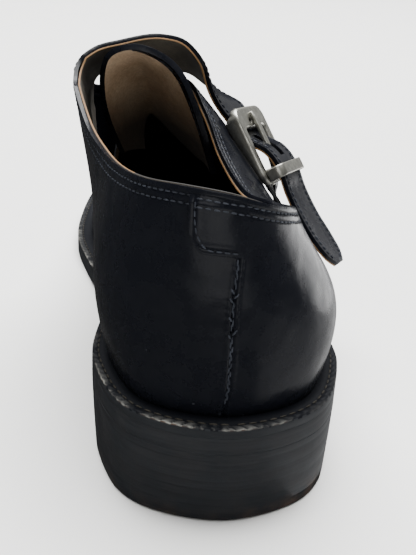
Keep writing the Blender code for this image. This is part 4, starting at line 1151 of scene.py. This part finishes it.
class SHOE_OT_welt(bpy.types.Operator):
    """Make the welt, with a stitch groove and the wheel's marks on its top"""
    bl_idname = "shoe.welt"
    bl_label = "Welt"
    SLANT = 0.9
    TOP_NORMAL = 0.35
    WEAR_AND_HIGHLIGHT_FROM_X = -12.0
    WEAR_AND_HIGHLIGHT_FADE = 34.0
    WEAR_AND_HIGHLIGHT_RANGE = (0.2, 1.25)
    RUBBED_AND_HIGHLIT_ROWS = (
        # row of the section, share of the wear and painted highlight
        (5, 1.0), (6, 0.4), (7, 0.2), (8, 0.2),
    )

    def execute(self, context):
        sizes = context.scene.shoe_sizes
        shares = ring_shares(SIDE_STATIONS)
        reach = level(WELT_REACH, np.abs(shares))
        along = np.abs(shares) * SIDE_LENGTH
        pitch = sizes.welt_pitch / MM
        wander = 0.10 * np.sin(along / 9.0 + np.sign(shares)) + 0.07 * np.sin(along / 3.7)
        none = np.zeros(len(shares))
        base, top = WELT_BASE, WELT_BASE + WELT_THICKNESS

        def mark(inset):
            """Return how deep the wheel's slanted marks are at an inset from the edge."""
            return bell((along + self.SLANT * inset) % pitch - pitch / 2, 0.55) * sizes.wheel_depth / MM

        section = [
            (none + 0.4, none + base - 0.05), (none + 0.05, none + base - 0.03), (none, none + base + 0.1),
            (none, none + base + 1.7), (none, none + top - 0.75), (none + 0.15, top - 0.3 - 0.7 * mark(0.0)),
            (0.09 * reach, top - mark(0.09 * reach) + wander), (0.20 * reach, top + 0.05 - mark(0.2 * reach) + wander),
            (0.31 * reach, top - 0.5 * mark(0.31 * reach) + wander), (0.38 * reach, none + top - 0.25),
            (0.48 * reach, none + top - 0.25), (0.56 * reach, none + top), (0.85 * reach, none + top),
            (reach + 1.5, none + top - 0.1), (reach + WELT_UNDER_UPPER, none + top - 0.1),
            (reach + WELT_UNDER_UPPER, none + base), (none + 0.4, none + base - 0.05),
        ]
        rows = edge_rows(shares, section)
        # Wear and painted highlight on the welt's outer top edge, strongest on the inner side and on the ridges between
        # the wheel's marks
        rub_and_highlight = np.zeros(rows.shape[:2])
        least, most = self.WEAR_AND_HIGHLIGHT_RANGE
        worn_and_highlit = np.clip(most - (rows[0, :, 0] - self.WEAR_AND_HIGHLIGHT_FROM_X) / self.WEAR_AND_HIGHLIGHT_FADE, least, most)
        worn_and_highlit *= 0.7 + 0.3 * np.sin(along / 6.1)
        for row, share in self.RUBBED_AND_HIGHLIT_ROWS:
            rub_and_highlight[row] = share * worn_and_highlit * (1.0 if row < 6 else 1.0 - 0.9 * mark(section[row][0]) / (sizes.wheel_depth / MM))
        piece = sheet("welt_strip", rows)
        set_wear_and_painted_light(piece, rub_and_highlight.ravel())
        weld(piece, outward=True)
        cover(piece, material("welt_top_painted_shade"), material("burnished_sole_leather"))
        # Faces that look up take the darker welt material: painted shade beside the upper
        for face in piece.data.polygons:
            face.material_index = int(face.normal.z < self.TOP_NORMAL)
        smooth_shading(piece)
        settle(piece, "sole_leather", "welt")
        return {"FINISHED"}


class SHOE_OT_outsole(bpy.types.Operator):
    """Make the outsole, with a rounded edge, a layer line and a closed stitch channel under the forepart"""
    bl_idname = "shoe.outsole"
    bl_label = "Outsole"
    STATIONS = 240
    FOREPART_FROM = 0.30
    FOREPART_BLEND = 0.05
    WORN_BELOW = 0.5
    WORN_FROM_Y = 100.0
    TREAD_WEAR = 0.9
    EDGE_WEAR = 0.03

    def execute(self, context):
        shares = ring_shares(self.STATIONS)
        thick = OUTSOLE_THICKNESS + 0.2
        front = np.clip((np.abs(shares) - self.FOREPART_FROM) / self.FOREPART_BLEND, 0.0, 1.0)
        section = [
            (6.4, 0.0), (5.6, 0.25 * front), (4.8, 0.0), (0.4 + 1.1 * front, 0.0), (0.05 + 0.45 * front, 0.2 * front),
            (0.12 * front, 0.1 + 0.5 * front), (0.0, 1.2), (0.0, 3.1), (0.04, 3.4), (0.0, 3.7), (0.0, thick - 0.1),
            (0.05, thick + 0.02), (0.4, thick + 0.03),
        ]
        piece = sole_layer("outsole_leather", shares, section)
        places = points_of(piece)
        rise = places[:, 2] - level(UNDERSIDE, places[:, 1])
        tread = (rise < self.WORN_BELOW) & (places[:, 1] > self.WORN_FROM_Y)
        set_wear_and_painted_light(piece, np.where(tread, self.TREAD_WEAR, self.EDGE_WEAR))
        cover(piece, material("burnished_sole_leather"))
        smooth_shading(piece)
        settle(piece, "sole_leather", "outsole")
        return {"FINISHED"}


class SHOE_OT_insole(bpy.types.Operator):
    """Make the insole with its black sock, dished where the foot stands"""
    bl_idname = "shoe.insole"
    bl_label = "Insole and sock"
    STATIONS = 160
    DISH = 0.9
    DISH_FROM = 12.0
    DISH_BLEND = 14.0

    def execute(self, context):
        shares = ring_shares(self.STATIONS)
        inset = level(WELT_REACH, np.abs(shares)) + WELT_UNDER_UPPER + LAYER_GAP
        top = INSOLE_BASE + INSOLE_THICKNESS
        section = [(inset, INSOLE_BASE), (inset, top - 0.5), (inset + 0.15, top - 0.15), (inset + 0.5, top)]
        piece = sole_layer("insole_sock", shares, section, axis_from=34.0, axis_to=262.0)
        places = points_of(piece)
        up = places[:, 2] > level(UNDERSIDE, places[:, 1]) + top - 0.3
        edge = np.array([np.linalg.norm(edge_at(shares)[0] - place[:2], axis=1).min() for place in places])
        dish = self.DISH * np.clip((edge - self.DISH_FROM) / self.DISH_BLEND, 0.0, 1.0)
        places[:, 2] -= np.where(up, dish, 0.0)
        place_points(piece, places)
        cover(piece, material("black_sock"))
        smooth_shading(piece)
        settle(piece, "sock_leather", "insole")
        return {"FINISHED"}


class SHOE_OT_heel(bpy.types.Operator):
    """Make the stacked heel, with the lines of its lifts and a hollow breast"""
    bl_idname = "shoe.heel"
    bl_label = "Heel"
    STATIONS = 181
    BREAST_SHARE = 0.272
    BREAST_HOLLOW = 5.0
    BREAST_LEAN = 2.0
    TAPER_BACK = 3.2
    TAPER_SIDE = 1.3
    TAPER_TURN = 0.12
    TAPER_POWER = 1.3
    LIFTS = (
        # height of the joint, depth of its line
        (6.0, 0.05), (12.4, 0.04), (18.8, 0.05), (23.4, 0.10),
    )
    TREAD_EDGE = (
        # rise, inset
        (0.0, 1.1), (0.12, 0.55), (0.4, 0.2), (0.9, 0.04), (1.6, 0.0),
    )
    TREAD_WEAR_HEIGHT = 3.0
    CORNER_REACH = 30.0
    CORNER_HEIGHT = 8.0

    def execute(self, context):
        shares = np.linspace(self.BREAST_SHARE, -self.BREAST_SHARE, self.STATIONS)
        turn = np.clip(np.abs(shares) / self.TAPER_TURN, 0.0, 1.0)
        taper = self.TAPER_SIDE + (self.TAPER_BACK - self.TAPER_SIDE) * (1 - turn ** 2)
        profile = list(self.TREAD_EDGE)
        for joint, depth in self.LIFTS:
            profile += [(joint - 0.4, 0.0), (joint, depth), (joint + 0.4, 0.0)]
        profile += [(HEEL_TOP - 0.3, 0.0), (HEEL_TOP + 0.2, 0.0), (HEEL_TOP + 0.27, 0.05), (HEEL_TOP + 0.27, 0.4)]
        rows = []
        for rise, inset in profile:
            share = min(rise / HEEL_TOP, 1.0)
            edge, _ = edge_at(shares, taper * (1 - share) ** self.TAPER_POWER + inset)
            across = np.linspace(0.0, 1.0, 42)[1:-1]
            breast = edge[-1] + (edge[0] - edge[-1]) * across[:, None]
            breast[:, 1] -= self.BREAST_HOLLOW * 4 * across * (1 - across) + inset
            ring = np.vstack([edge, breast, edge[:1]])
            ring[:, 1] -= self.BREAST_LEAN * (1 - share) * ring[:, 1] / edge[-1, 1]
            rows.append(np.column_stack([ring, np.full(len(ring), rise)]))
        piece = sheet("heel_stack", np.array(rows))
        weld(piece)
        close_ends(piece)
        places = points_of(piece)
        low = np.clip(1.0 - places[:, 2] / self.TREAD_WEAR_HEIGHT, 0.0, 1.0)
        corner = np.clip(places[:, 0] / self.CORNER_REACH, 0.0, 1.0)
        corner *= np.clip(1.0 - places[:, 2] / self.CORNER_HEIGHT, 0.0, 1.0)
        set_wear_and_painted_light(piece, np.clip(0.03 + 0.35 * low + 0.6 * corner, 0.0, 1.0))
        cover(piece, material("burnished_sole_leather"))
        smooth_shading(piece)
        settle(piece, "sole_leather", "heel")
        return {"FINISHED"}


def frame_edges(segments):
    """Return the outer edge, the window's edge and the lower edge's level at stations round the buckle's frame."""
    low = -FRAME_THICKNESS / 2
    window = (FRAME_PLATE_END, FRAME_LENGTH / 2 - FRAME_BAR)
    walls = np.array(FRAME_WALLS)
    outer, inner, depth = [], [], []
    for turn, (end, side) in enumerate(((1, 1), (-1, 1), (-1, -1), (1, -1))):
        centre = np.array((end * (FRAME_LENGTH / 2 - FRAME_CORNER), side * (FRAME_WIDTH / 2 - FRAME_CORNER)))
        window_end = window[0] + WINDOW_CORNER if end < 0 else window[1] - WINDOW_CORNER
        window_centre = np.array((window_end, side * (FRAME_WIDTH / 2 - FRAME_BAR - WINDOW_CORNER)))
        for angle in np.radians(90.0 * turn) + np.linspace(0.0, np.pi / 2, segments):
            away = np.array((np.cos(angle), np.sin(angle)))
            outer.append(centre + away * FRAME_CORNER)
            inner.append(window_centre + away * WINDOW_CORNER)
            share = np.clip((abs(away[1]) - 0.85) / 0.15, 0.0, 1.0)
            depth.append(low + (walls[0 if end < 0 else -1, 1] - low) * share)
        if end * side > 0:
            for along in np.linspace(*walls[[0, -1], 0], 4 * segments)[1:-1][::-side]:
                share = (along - walls[0, 0]) / (walls[-1, 0] - walls[0, 0])
                reach = window[0] + WINDOW_CORNER + share * (window[1] - window[0] - 2 * WINDOW_CORNER)
                outer.append(np.array((along, side * FRAME_WIDTH / 2)))
                inner.append(np.array((reach, side * (FRAME_WIDTH / 2 - FRAME_BAR))))
                depth.append(level(FRAME_WALLS, along))
        else:
            for share in np.linspace(0.0, 1.0, 4 * segments)[1:-1]:
                half, window_half = FRAME_WIDTH / 2 - FRAME_CORNER, FRAME_WIDTH / 2 - FRAME_BAR - WINDOW_CORNER
                outer.append(np.array((end * FRAME_LENGTH / 2, side * half * (1 - 2 * share))))
                inner.append(np.array((window[0 if end < 0 else 1], side * window_half * (1 - 2 * share))))
                depth.append(low)
    return np.array(outer), np.array(inner), np.array(depth)


def keeper_edge(half, top, corner, foot, segments):
    """Return an arch of the keeper, across and out, from one foot to the other."""
    quarter = np.linspace(0.0, np.pi / 2, segments)
    turn = np.stack([half - corner + corner * np.cos(quarter), top - corner + corner * np.sin(quarter)], axis=1)
    rise = np.stack([np.full(6, half), np.linspace(foot, top - corner, 6)], axis=1)
    side = np.vstack([rise[:-1], turn])
    return np.vstack([side, (side * (-1, 1))[::-1]])


class SHOE_OT_buckle(bpy.types.Operator):
    """Make the buckle's frame, prong and keeper in antique pewter"""
    bl_idname = "shoe.buckle"
    bl_label = "Buckle"
    SEGMENTS = 14
    DENT_ALONG = -9.6
    DENT_SIDE = 2.5
    DENT_HALF = 1.05
    DENT_DEPTH = 0.9
    CROWN = 0.35
    CROWN_HALF = 4.5
    CROWN_BLEND = 3.0
    TOP_FROM = 0.8
    KEEPER_SEGMENTS = 12
    SECTION = (
        # step in from the edge, drop from the top
        (0.0, 1.9), (0.06, 1.1), (0.25, 0.5), (0.6, 0.12), (1.1, 0.0),
    )

    def frame_points(self):
        """Return rows of the frame's section: up its outer face, over its top and down into the window."""
        outer, inner, depth = frame_edges(self.SEGMENTS)
        width = np.linalg.norm(inner - outer, axis=1)[:, None]
        step = (inner - outer) / width
        top = FRAME_THICKNESS / 2
        rows = [np.column_stack([outer + step * 0.5, depth]), np.column_stack([outer + step * 0.1, depth + 0.3])]
        rows += [np.column_stack([outer + step * inset, np.full(len(outer), top - drop)])
                 for inset, drop in self.SECTION]
        flat = self.SECTION[-1][0]
        for share in np.linspace(0.0, 1.0, 16)[1:-1]:
            inward = flat + (width - 2 * flat) * share
            rows.append(np.column_stack([outer + step * inward, np.full(len(outer), top)]))
        rows += [np.column_stack([inner - step * inset, np.full(len(outer), top - drop)])
                 for inset, drop in self.SECTION[::-1]]
        rows += [np.column_stack([inner - step * 0.1, depth + 0.3]), np.column_stack([inner - step * 0.5, depth])]
        rows = np.array(rows + rows[:1])
        return np.concatenate([rows, rows[:, :1]], axis=1)

    def execute(self, context):
        metal = material("antique_pewter")
        points = self.frame_points()
        dents = sum(bell(np.hypot(points[..., 0] - self.DENT_ALONG, points[..., 1] - side), self.DENT_HALF)
                    for side in (-self.DENT_SIDE, self.DENT_SIDE))
        on_top = points[..., 2] > self.TOP_FROM
        dents *= on_top
        plate = np.clip((FRAME_PLATE_END - points[..., 0]) / self.CROWN_BLEND, 0.0, 1.0) * on_top
        points[..., 2] += self.CROWN * plate * bell(points[..., 1], self.CROWN_HALF) - self.DENT_DEPTH * dents
        piece = sheet("buckle_frame_casting", buckle_place(points))
        # The dents take painted shade through the attribute that also holds wear
        set_wear_and_painted_light(piece, np.clip(1.3 * dents.ravel(), 0.0, 1.0))
        cover(piece, metal)
        weld(piece, outward=True)
        smooth_shading(piece, 60.0)
        settle(piece, "pewter", "buckle_frame")
        foot = FRAME_THICKNESS / 2 + LAYER_GAP
        arch = keeper_edge(KEEPER_ACROSS / 2, KEEPER_TOP, KEEPER_CORNER, foot, self.KEEPER_SEGMENTS)
        under = keeper_edge(KEEPER_ACROSS / 2 - KEEPER_BAND, KEEPER_TOP - KEEPER_BAND, KEEPER_CORNER - KEEPER_BAND,
                            foot, self.KEEPER_SEGMENTS)
        section = ((0.0, -0.5), (0.0, 0.5), (1.0, 0.5), (1.0, -0.5), (0.0, -0.5))
        rows = [np.column_stack([np.full(len(arch), KEEPER_ALONG + side * KEEPER_WIDTH), arch + (under - arch) * share])
                for share, side in section]
        points = np.array(rows)
        piece = sheet("strap_keeper_band", buckle_place(points))
        weld(piece)
        close_ends(piece)
        cover(piece, metal)
        round_edges(piece, 0.45, segments=3)
        smooth_shading(piece, 50.0)
        settle(piece, "pewter", "strap_keeper")
        piece = bpy.data.objects.new("prong_casting", frame["nodes"]["buckle_prong"].data.copy())
        context.scene.collection.objects.link(piece)
        weld(piece)
        cover(piece, metal)
        round_edges(piece, 0.5, segments=3, angle=25.0)
        smooth_shading(piece, 60.0)
        settle(piece, "pewter", "buckle_prong")
        return {"FINISHED"}


class SHOE_OT_buckle_tab(bpy.types.Operator):
    """Make the leather tab that holds the buckle's lower bar, slit for the prong"""
    bl_idname = "shoe.buckle_tab"
    bl_label = "Buckle tab"
    STATIONS = 64
    COLUMNS = 31
    SLOT_FROM = 2.0

    def execute(self, context):
        at = np.linspace(0.0, len(BUCKLE_TAB) - 1.0, self.STATIONS)
        middle = smooth(np.arange(len(BUCKLE_TAB), dtype=float), np.array(BUCKLE_TAB), at)
        across = np.linspace(-BUCKLE_TAB_HALF, BUCKLE_TAB_HALF, self.COLUMNS)
        along, out, tilt = middle.T[:, :, None]
        places = np.stack([np.broadcast_to(along, (self.STATIONS, self.COLUMNS)),
                           np.broadcast_to(across, (self.STATIONS, self.COLUMNS)), out + tilt * across], axis=2)
        piece = sheet("buckle_tab_leather", buckle_place(places))
        row = np.repeat((at[:-1] + at[1:]) / 2, self.COLUMNS - 1)
        side = np.tile((across[:-1] + across[1:]) / 2, self.STATIONS - 1)
        cut_faces(piece, (row > self.SLOT_FROM) & (np.abs(side) < BUCKLE_TAB_SLOT_HALF))
        cover(piece, material("waxed_black_calf"))
        thicken(piece, BUCKLE_TAB_WALL * MM, offset=0.0)
        round_edges(piece, 0.3)
        smooth_shading(piece)
        settle(piece, "black_leather", "buckle_tab")
        return {"FINISHED"}


def spaced(path, pitch):
    """Return points a pitch apart along a path."""
    lengths = run_lengths(path)
    at = np.arange(pitch / 2, lengths[-1], pitch)
    return np.stack([np.interp(at, lengths, path[:, axis]) for axis in range(3)], axis=1)


def stitch_row(carrier, path, pitch, size, turns=(0.0,), sides=(0.0,)):
    """Return the frames of a row of stitches on the face of the piece that carries them."""
    centres = spaced(path, pitch)
    along = unit(np.gradient(centres, axis=0))
    _, out = surface(carrier, centres)
    beside = unit(np.cross(out, along))
    count = len(centres)
    centres = centres + beside * np.resize(sides, count)[:, None]
    centres, out = surface(carrier, centres)
    turn = np.radians(np.resize(turns, count))[:, None]
    along = along * np.cos(turn) + beside * np.sin(turn)
    along = unit(along - out * (along * out).sum(axis=1)[:, None])
    beside = np.cross(out, along)
    axes = np.stack([along * size[0] / 2, beside * size[1] / 2, out * size[2] / 2], axis=1)
    return centres + out * size[2] * 0.15, axes


def sew(name, rows, finish, slot):
    """Model one stitch and join a copy of it for each frame of the rows into one mesh."""
    bpy.ops.object.select_all(action="DESELECT")
    bpy.ops.mesh.primitive_uv_sphere_add(segments=8, ring_count=5, radius=1.0)
    piece = bpy.context.active_object
    piece.name = piece.data.name = name
    shape = np.array([vertex.co for vertex in piece.data.vertices])
    shape = np.sign(shape) * np.abs(shape) ** (0.8, 1.0, 1.0)
    loops = [list(face.vertices) for face in piece.data.polygons]
    centres = np.concatenate([row[0] for row in rows])
    axes = np.concatenate([row[1] for row in rows])
    points = centres[:, None] + np.einsum("va,sax->svx", shape, axes)
    faces = [[corner + len(shape) * copy for corner in loop] for copy in range(len(centres)) for loop in loops]
    piece.data.clear_geometry()
    piece.data.from_pydata(to_world(points.reshape(-1, 3)).tolist(), [], faces)
    cover(piece, finish)
    weld(piece, outward=True)
    smooth_shading(piece, 80.0)
    settle(piece, slot)
    return piece


def topline_path(shares, distance):
    """Return the path on the quarters a distance below their top edge."""
    return wall_points(shares, below_top(shares, distance))[:, 0]


def strap_path(side, inset):
    """Return the path along one edge of the strap, an inset in from it: side 0 is the front edge, 1 the rear."""
    shares = spread(RIB_BANDS[1:2])
    points = strap_points(wall_points(shares, [1.0])[:, 0], 400)
    edge, other = (points[:, 0], points[:, -1]) if side == 0 else (points[:, -1], points[:, 0])
    width = np.linalg.norm(other - edge, axis=1)[:, None]
    return edge + (other - edge) * np.minimum(inset / width, 0.5)


class SHOE_OT_stitches(bpy.types.Operator):
    """Sew the rows of the upper in black thread and the row of the welt in soiled thread"""
    bl_idname = "shoe.stitches"
    bl_label = "Stitches"
    # Shares and heights between which each row runs
    TOPLINE = (-0.488, 0.352)
    THROAT_END = (0.455, 0.490)
    FRONT_EDGE = (0.02, 0.96)
    SEAM = (0.05, 0.745)
    TAB_ROW_TO = -0.012
    TAB_ROW_TOP = 0.962
    TAB_MARGIN = 0.004
    TONGUE_ROW = (0.60, 0.92)
    STRAP_ENDS = 6
    # Slanted stitches of the back seam
    SEAM_PITCH = 1.35
    SEAM_STITCH = 2.3
    SEAM_TURN = 38.0
    SEAM_SIDE = 0.75
    # How far out behind the heel the tab's rows start, so that they land on its outer face
    TAB_OUT = 1.3
    TAB_TOPLINE_OUT = 1.2
    TONGUE_INSET = 0.75
    TONGUE_DEPTH = 20.0
    # Place of the welt's row as a share of its reach, and the thread's width and height
    WELT_ROW = 0.43
    WELT_THREAD = (0.6, 0.5)

    def execute(self, context):
        sizes = context.scene.shoe_sizes
        pieces = bpy.data.objects
        quarters = pieces["quarters"]
        pitch = sizes.stitch_pitch / MM
        width = sizes.stitch_width / MM
        size = (sizes.stitch_length / MM, width, width)
        first, second = sizes.first_row / MM, sizes.second_row / MM
        rows = []
        for distance in (first, second):
            for ends, count in ((self.TOPLINE, 500), (self.THROAT_END, 30)):
                path = topline_path(np.linspace(*ends, count), distance)
                rows.append(stitch_row(quarters, path, pitch, size))
            for side in (-1, 1):
                share = side * (THROAT - distance / SHARE_LENGTH)
                path = wall_points([share], np.linspace(*self.FRONT_EDGE, 120))[0]
                rows.append(stitch_row(quarters, path, pitch, size))
        for side in (0, 1):
            rows.append(stitch_row(quarters, strap_path(side, first)[self.STRAP_ENDS:-self.STRAP_ENDS], pitch, size))
        seam = np.linspace(*self.SEAM, 160)
        path = wall_points(seam_share(seam), seam[:, None])[:, 0]
        rows.append(stitch_row(quarters, path, self.SEAM_PITCH, (self.SEAM_STITCH, width, width),
                               turns=(self.SEAM_TURN, -self.SEAM_TURN), sides=(self.SEAM_SIDE, -self.SEAM_SIDE)))
        shares = np.linspace(TAB_SHARES[1] - TAB_ROW / SHARE_LENGTH, self.TAB_ROW_TO, 200)
        low = tab_low_edge(shares, shares[0], TAB_ROW / TAB_RIB_LENGTH)
        side = np.linspace(self.TAB_ROW_TOP, low[0], 30)[:-1]
        path = np.vstack([wall_points(np.full(len(side), shares[0]), side[:, None])[:, 0],
                          wall_points(shares, low[:, None])[:, 0]])
        path -= (0.0, self.TAB_OUT, 0.0)
        tab = pieces["heel_tab_leather"]
        rows.append(stitch_row(tab, path, pitch, size))
        for distance in (first, second):
            shares = np.linspace(TAB_SHARES[0] + self.TAB_MARGIN, TAB_SHARES[1] - self.TAB_MARGIN, 40)
            path = topline_path(shares, distance) - (0.0, self.TAB_TOPLINE_OUT, 0.0)
            rows.append(stitch_row(tab, path, pitch, size))
        at = np.linspace(*self.TONGUE_ROW, 90)
        arch, next_arch = (smooth(np.linspace(0.0, 1.0, len(points)), np.array(points), at) for points in TONGUE[:2])
        path = arch + unit(next_arch - arch) * (sizes.tongue_band / MM - self.TONGUE_INSET)
        centre = path.mean(axis=0) - (0.0, 0.0, self.TONGUE_DEPTH)
        path += unit(centre - path) * TONGUE_WALL
        rows.append(stitch_row(pieces["tongue_leather"], path, pitch, size))
        sew("upper_stitches", rows, material("black_thread"), "black_leather")
        shares = ring_shares(SIDE_STATIONS)
        inset = self.WELT_ROW * level(WELT_REACH, np.abs(shares))
        path = edge_rows(shares, [(inset, WELT_BASE + WELT_THICKNESS)])[0]
        row = stitch_row(pieces["welt_strip"], path, sizes.welt_pitch / MM,
                         (sizes.welt_stitch / MM, *self.WELT_THREAD))
        sew("welt_stitches", [row], material("worn_welt_thread"), "sole_leather")
        return {"FINISHED"}


class SHOE_OT_stage(bpy.types.Operator):
    """Set the camera, the pale floor and the soft lights"""
    bl_idname = "shoe.stage"
    bl_label = "Stage"
    CAMERA_PLACE = (-0.03549, -0.25200, 0.17800)
    CAMERA_TURN = (65.577, -2.757, -5.901)
    LENS = 78.50
    SENSOR_WIDTH = 36.0
    FLOOR_SIZE = 9.0
    WORLD_STRENGTH = 0.08
    LIGHTS = (
        # name, place, aim, size, power
        ("overhead_softbox", (0.1, 0.6, 1.9), (0.0, 0.2, 0.0), 2.4, 200.0),
        ("rear_softbox", (-0.3, -1.6, 1.0), (0.0, 0.0, 0.06), 1.0, 6.0),
        ("side_card", (0.34, 0.21, 0.035), (0.12, 0.18, 1.03), 0.36, 1.05),
        ("low_card", (0.15, 0.01, 0.004), (0.15, 0.01, 1.0), 0.27, 0.17),
        ("rear_card", (0.0, -0.40, 0.01), (0.0, -0.40, 1.0), 0.40, 0.75),
        ("front_card", (1.0, 1.2, 0.45), (0.0, 0.1, 0.1), 0.8, 0.9),
    )

    def execute(self, context):
        bpy.ops.object.select_all(action="DESELECT")
        bpy.ops.object.camera_add(location=self.CAMERA_PLACE,
                                  rotation=[math.radians(angle) for angle in self.CAMERA_TURN])
        camera = context.active_object
        camera.name = "photo_camera"
        camera.data.sensor_fit = "HORIZONTAL"
        camera.data.sensor_width = self.SENSOR_WIDTH
        camera.data.lens = self.LENS
        camera.data.clip_start = 0.01
        context.scene.camera = camera
        bpy.ops.object.select_all(action="DESELECT")
        bpy.ops.mesh.primitive_plane_add(size=self.FLOOR_SIZE)
        floor = context.active_object
        floor.name = "paper_floor"
        cover(floor, material("studio_paper"))
        # The photo's ground is cut out white and does not mirror in the black leather
        floor.visible_glossy = False
        for name, place, aim, size, power in self.LIGHTS:
            turn = (Vector(aim) - Vector(place)).to_track_quat("-Z", "Y").to_euler()
            bpy.ops.object.light_add(type="AREA", location=place, rotation=turn)
            light = context.active_object
            light.name = name
            light.data.shape = "DISK"
            light.data.size = size
            light.data.energy = power
            light.visible_camera = False
        world = bpy.data.worlds.new("studio")
        world.use_nodes = True
        background = world.node_tree.nodes["Background"]
        background.inputs["Color"].default_value = (1.0, 1.0, 1.0, 1.0)
        background.inputs["Strength"].default_value = self.WORLD_STRENGTH
        context.scene.world = world
        return {"FINISHED"}


OPERATORS = (
    SHOE_OT_stage, SHOE_OT_quarters, SHOE_OT_lining, SHOE_OT_vamp, SHOE_OT_heel_tab, SHOE_OT_tongue,
    SHOE_OT_welt, SHOE_OT_outsole, SHOE_OT_insole, SHOE_OT_heel, SHOE_OT_buckle, SHOE_OT_buckle_tab,
    SHOE_OT_stitches,
)


class SHOE_PT_pieces(bpy.types.Panel):
    """Lists the pieces of the shoe and the stage"""
    bl_idname = "SHOE_PT_pieces"
    bl_label = "Monk strap shoe"
    bl_space_type = "VIEW_3D"
    bl_region_type = "UI"
    bl_category = "Shoe"

    def draw(self, context):
        for operator in OPERATORS:
            self.layout.operator(operator.bl_idname)
        for group in (context.scene.shoe_sizes, context.scene.shoe_colours):
            for name in group.__annotations__:
                self.layout.prop(group, name)


def register():
    """Register the classes and put their settings on the scene."""
    for item in (ShoeColours, ShoeSizes, *OPERATORS, SHOE_PT_pieces):
        bpy.utils.register_class(item)
    bpy.types.Scene.shoe_colours = bpy.props.PointerProperty(type=ShoeColours)
    bpy.types.Scene.shoe_sizes = bpy.props.PointerProperty(type=ShoeSizes)


def unregister():
    """Take the settings off the scene and unregister the classes."""
    del bpy.types.Scene.shoe_sizes
    del bpy.types.Scene.shoe_colours
    for item in (SHOE_PT_pieces, *reversed(OPERATORS), ShoeSizes, ShoeColours):
        bpy.utils.unregister_class(item)


def main():
    """Make the stage and every piece."""
    register()
    bpy.ops.shoe.stage()
    bpy.ops.shoe.quarters()
    bpy.ops.shoe.lining()
    bpy.ops.shoe.vamp()
    bpy.ops.shoe.heel_tab()
    bpy.ops.shoe.tongue()
    bpy.ops.shoe.welt()
    bpy.ops.shoe.outsole()
    bpy.ops.shoe.insole()
    bpy.ops.shoe.heel()
    bpy.ops.shoe.buckle()
    bpy.ops.shoe.buckle_tab()
    bpy.ops.shoe.stitches()


if __name__ == "__main__":
    main()
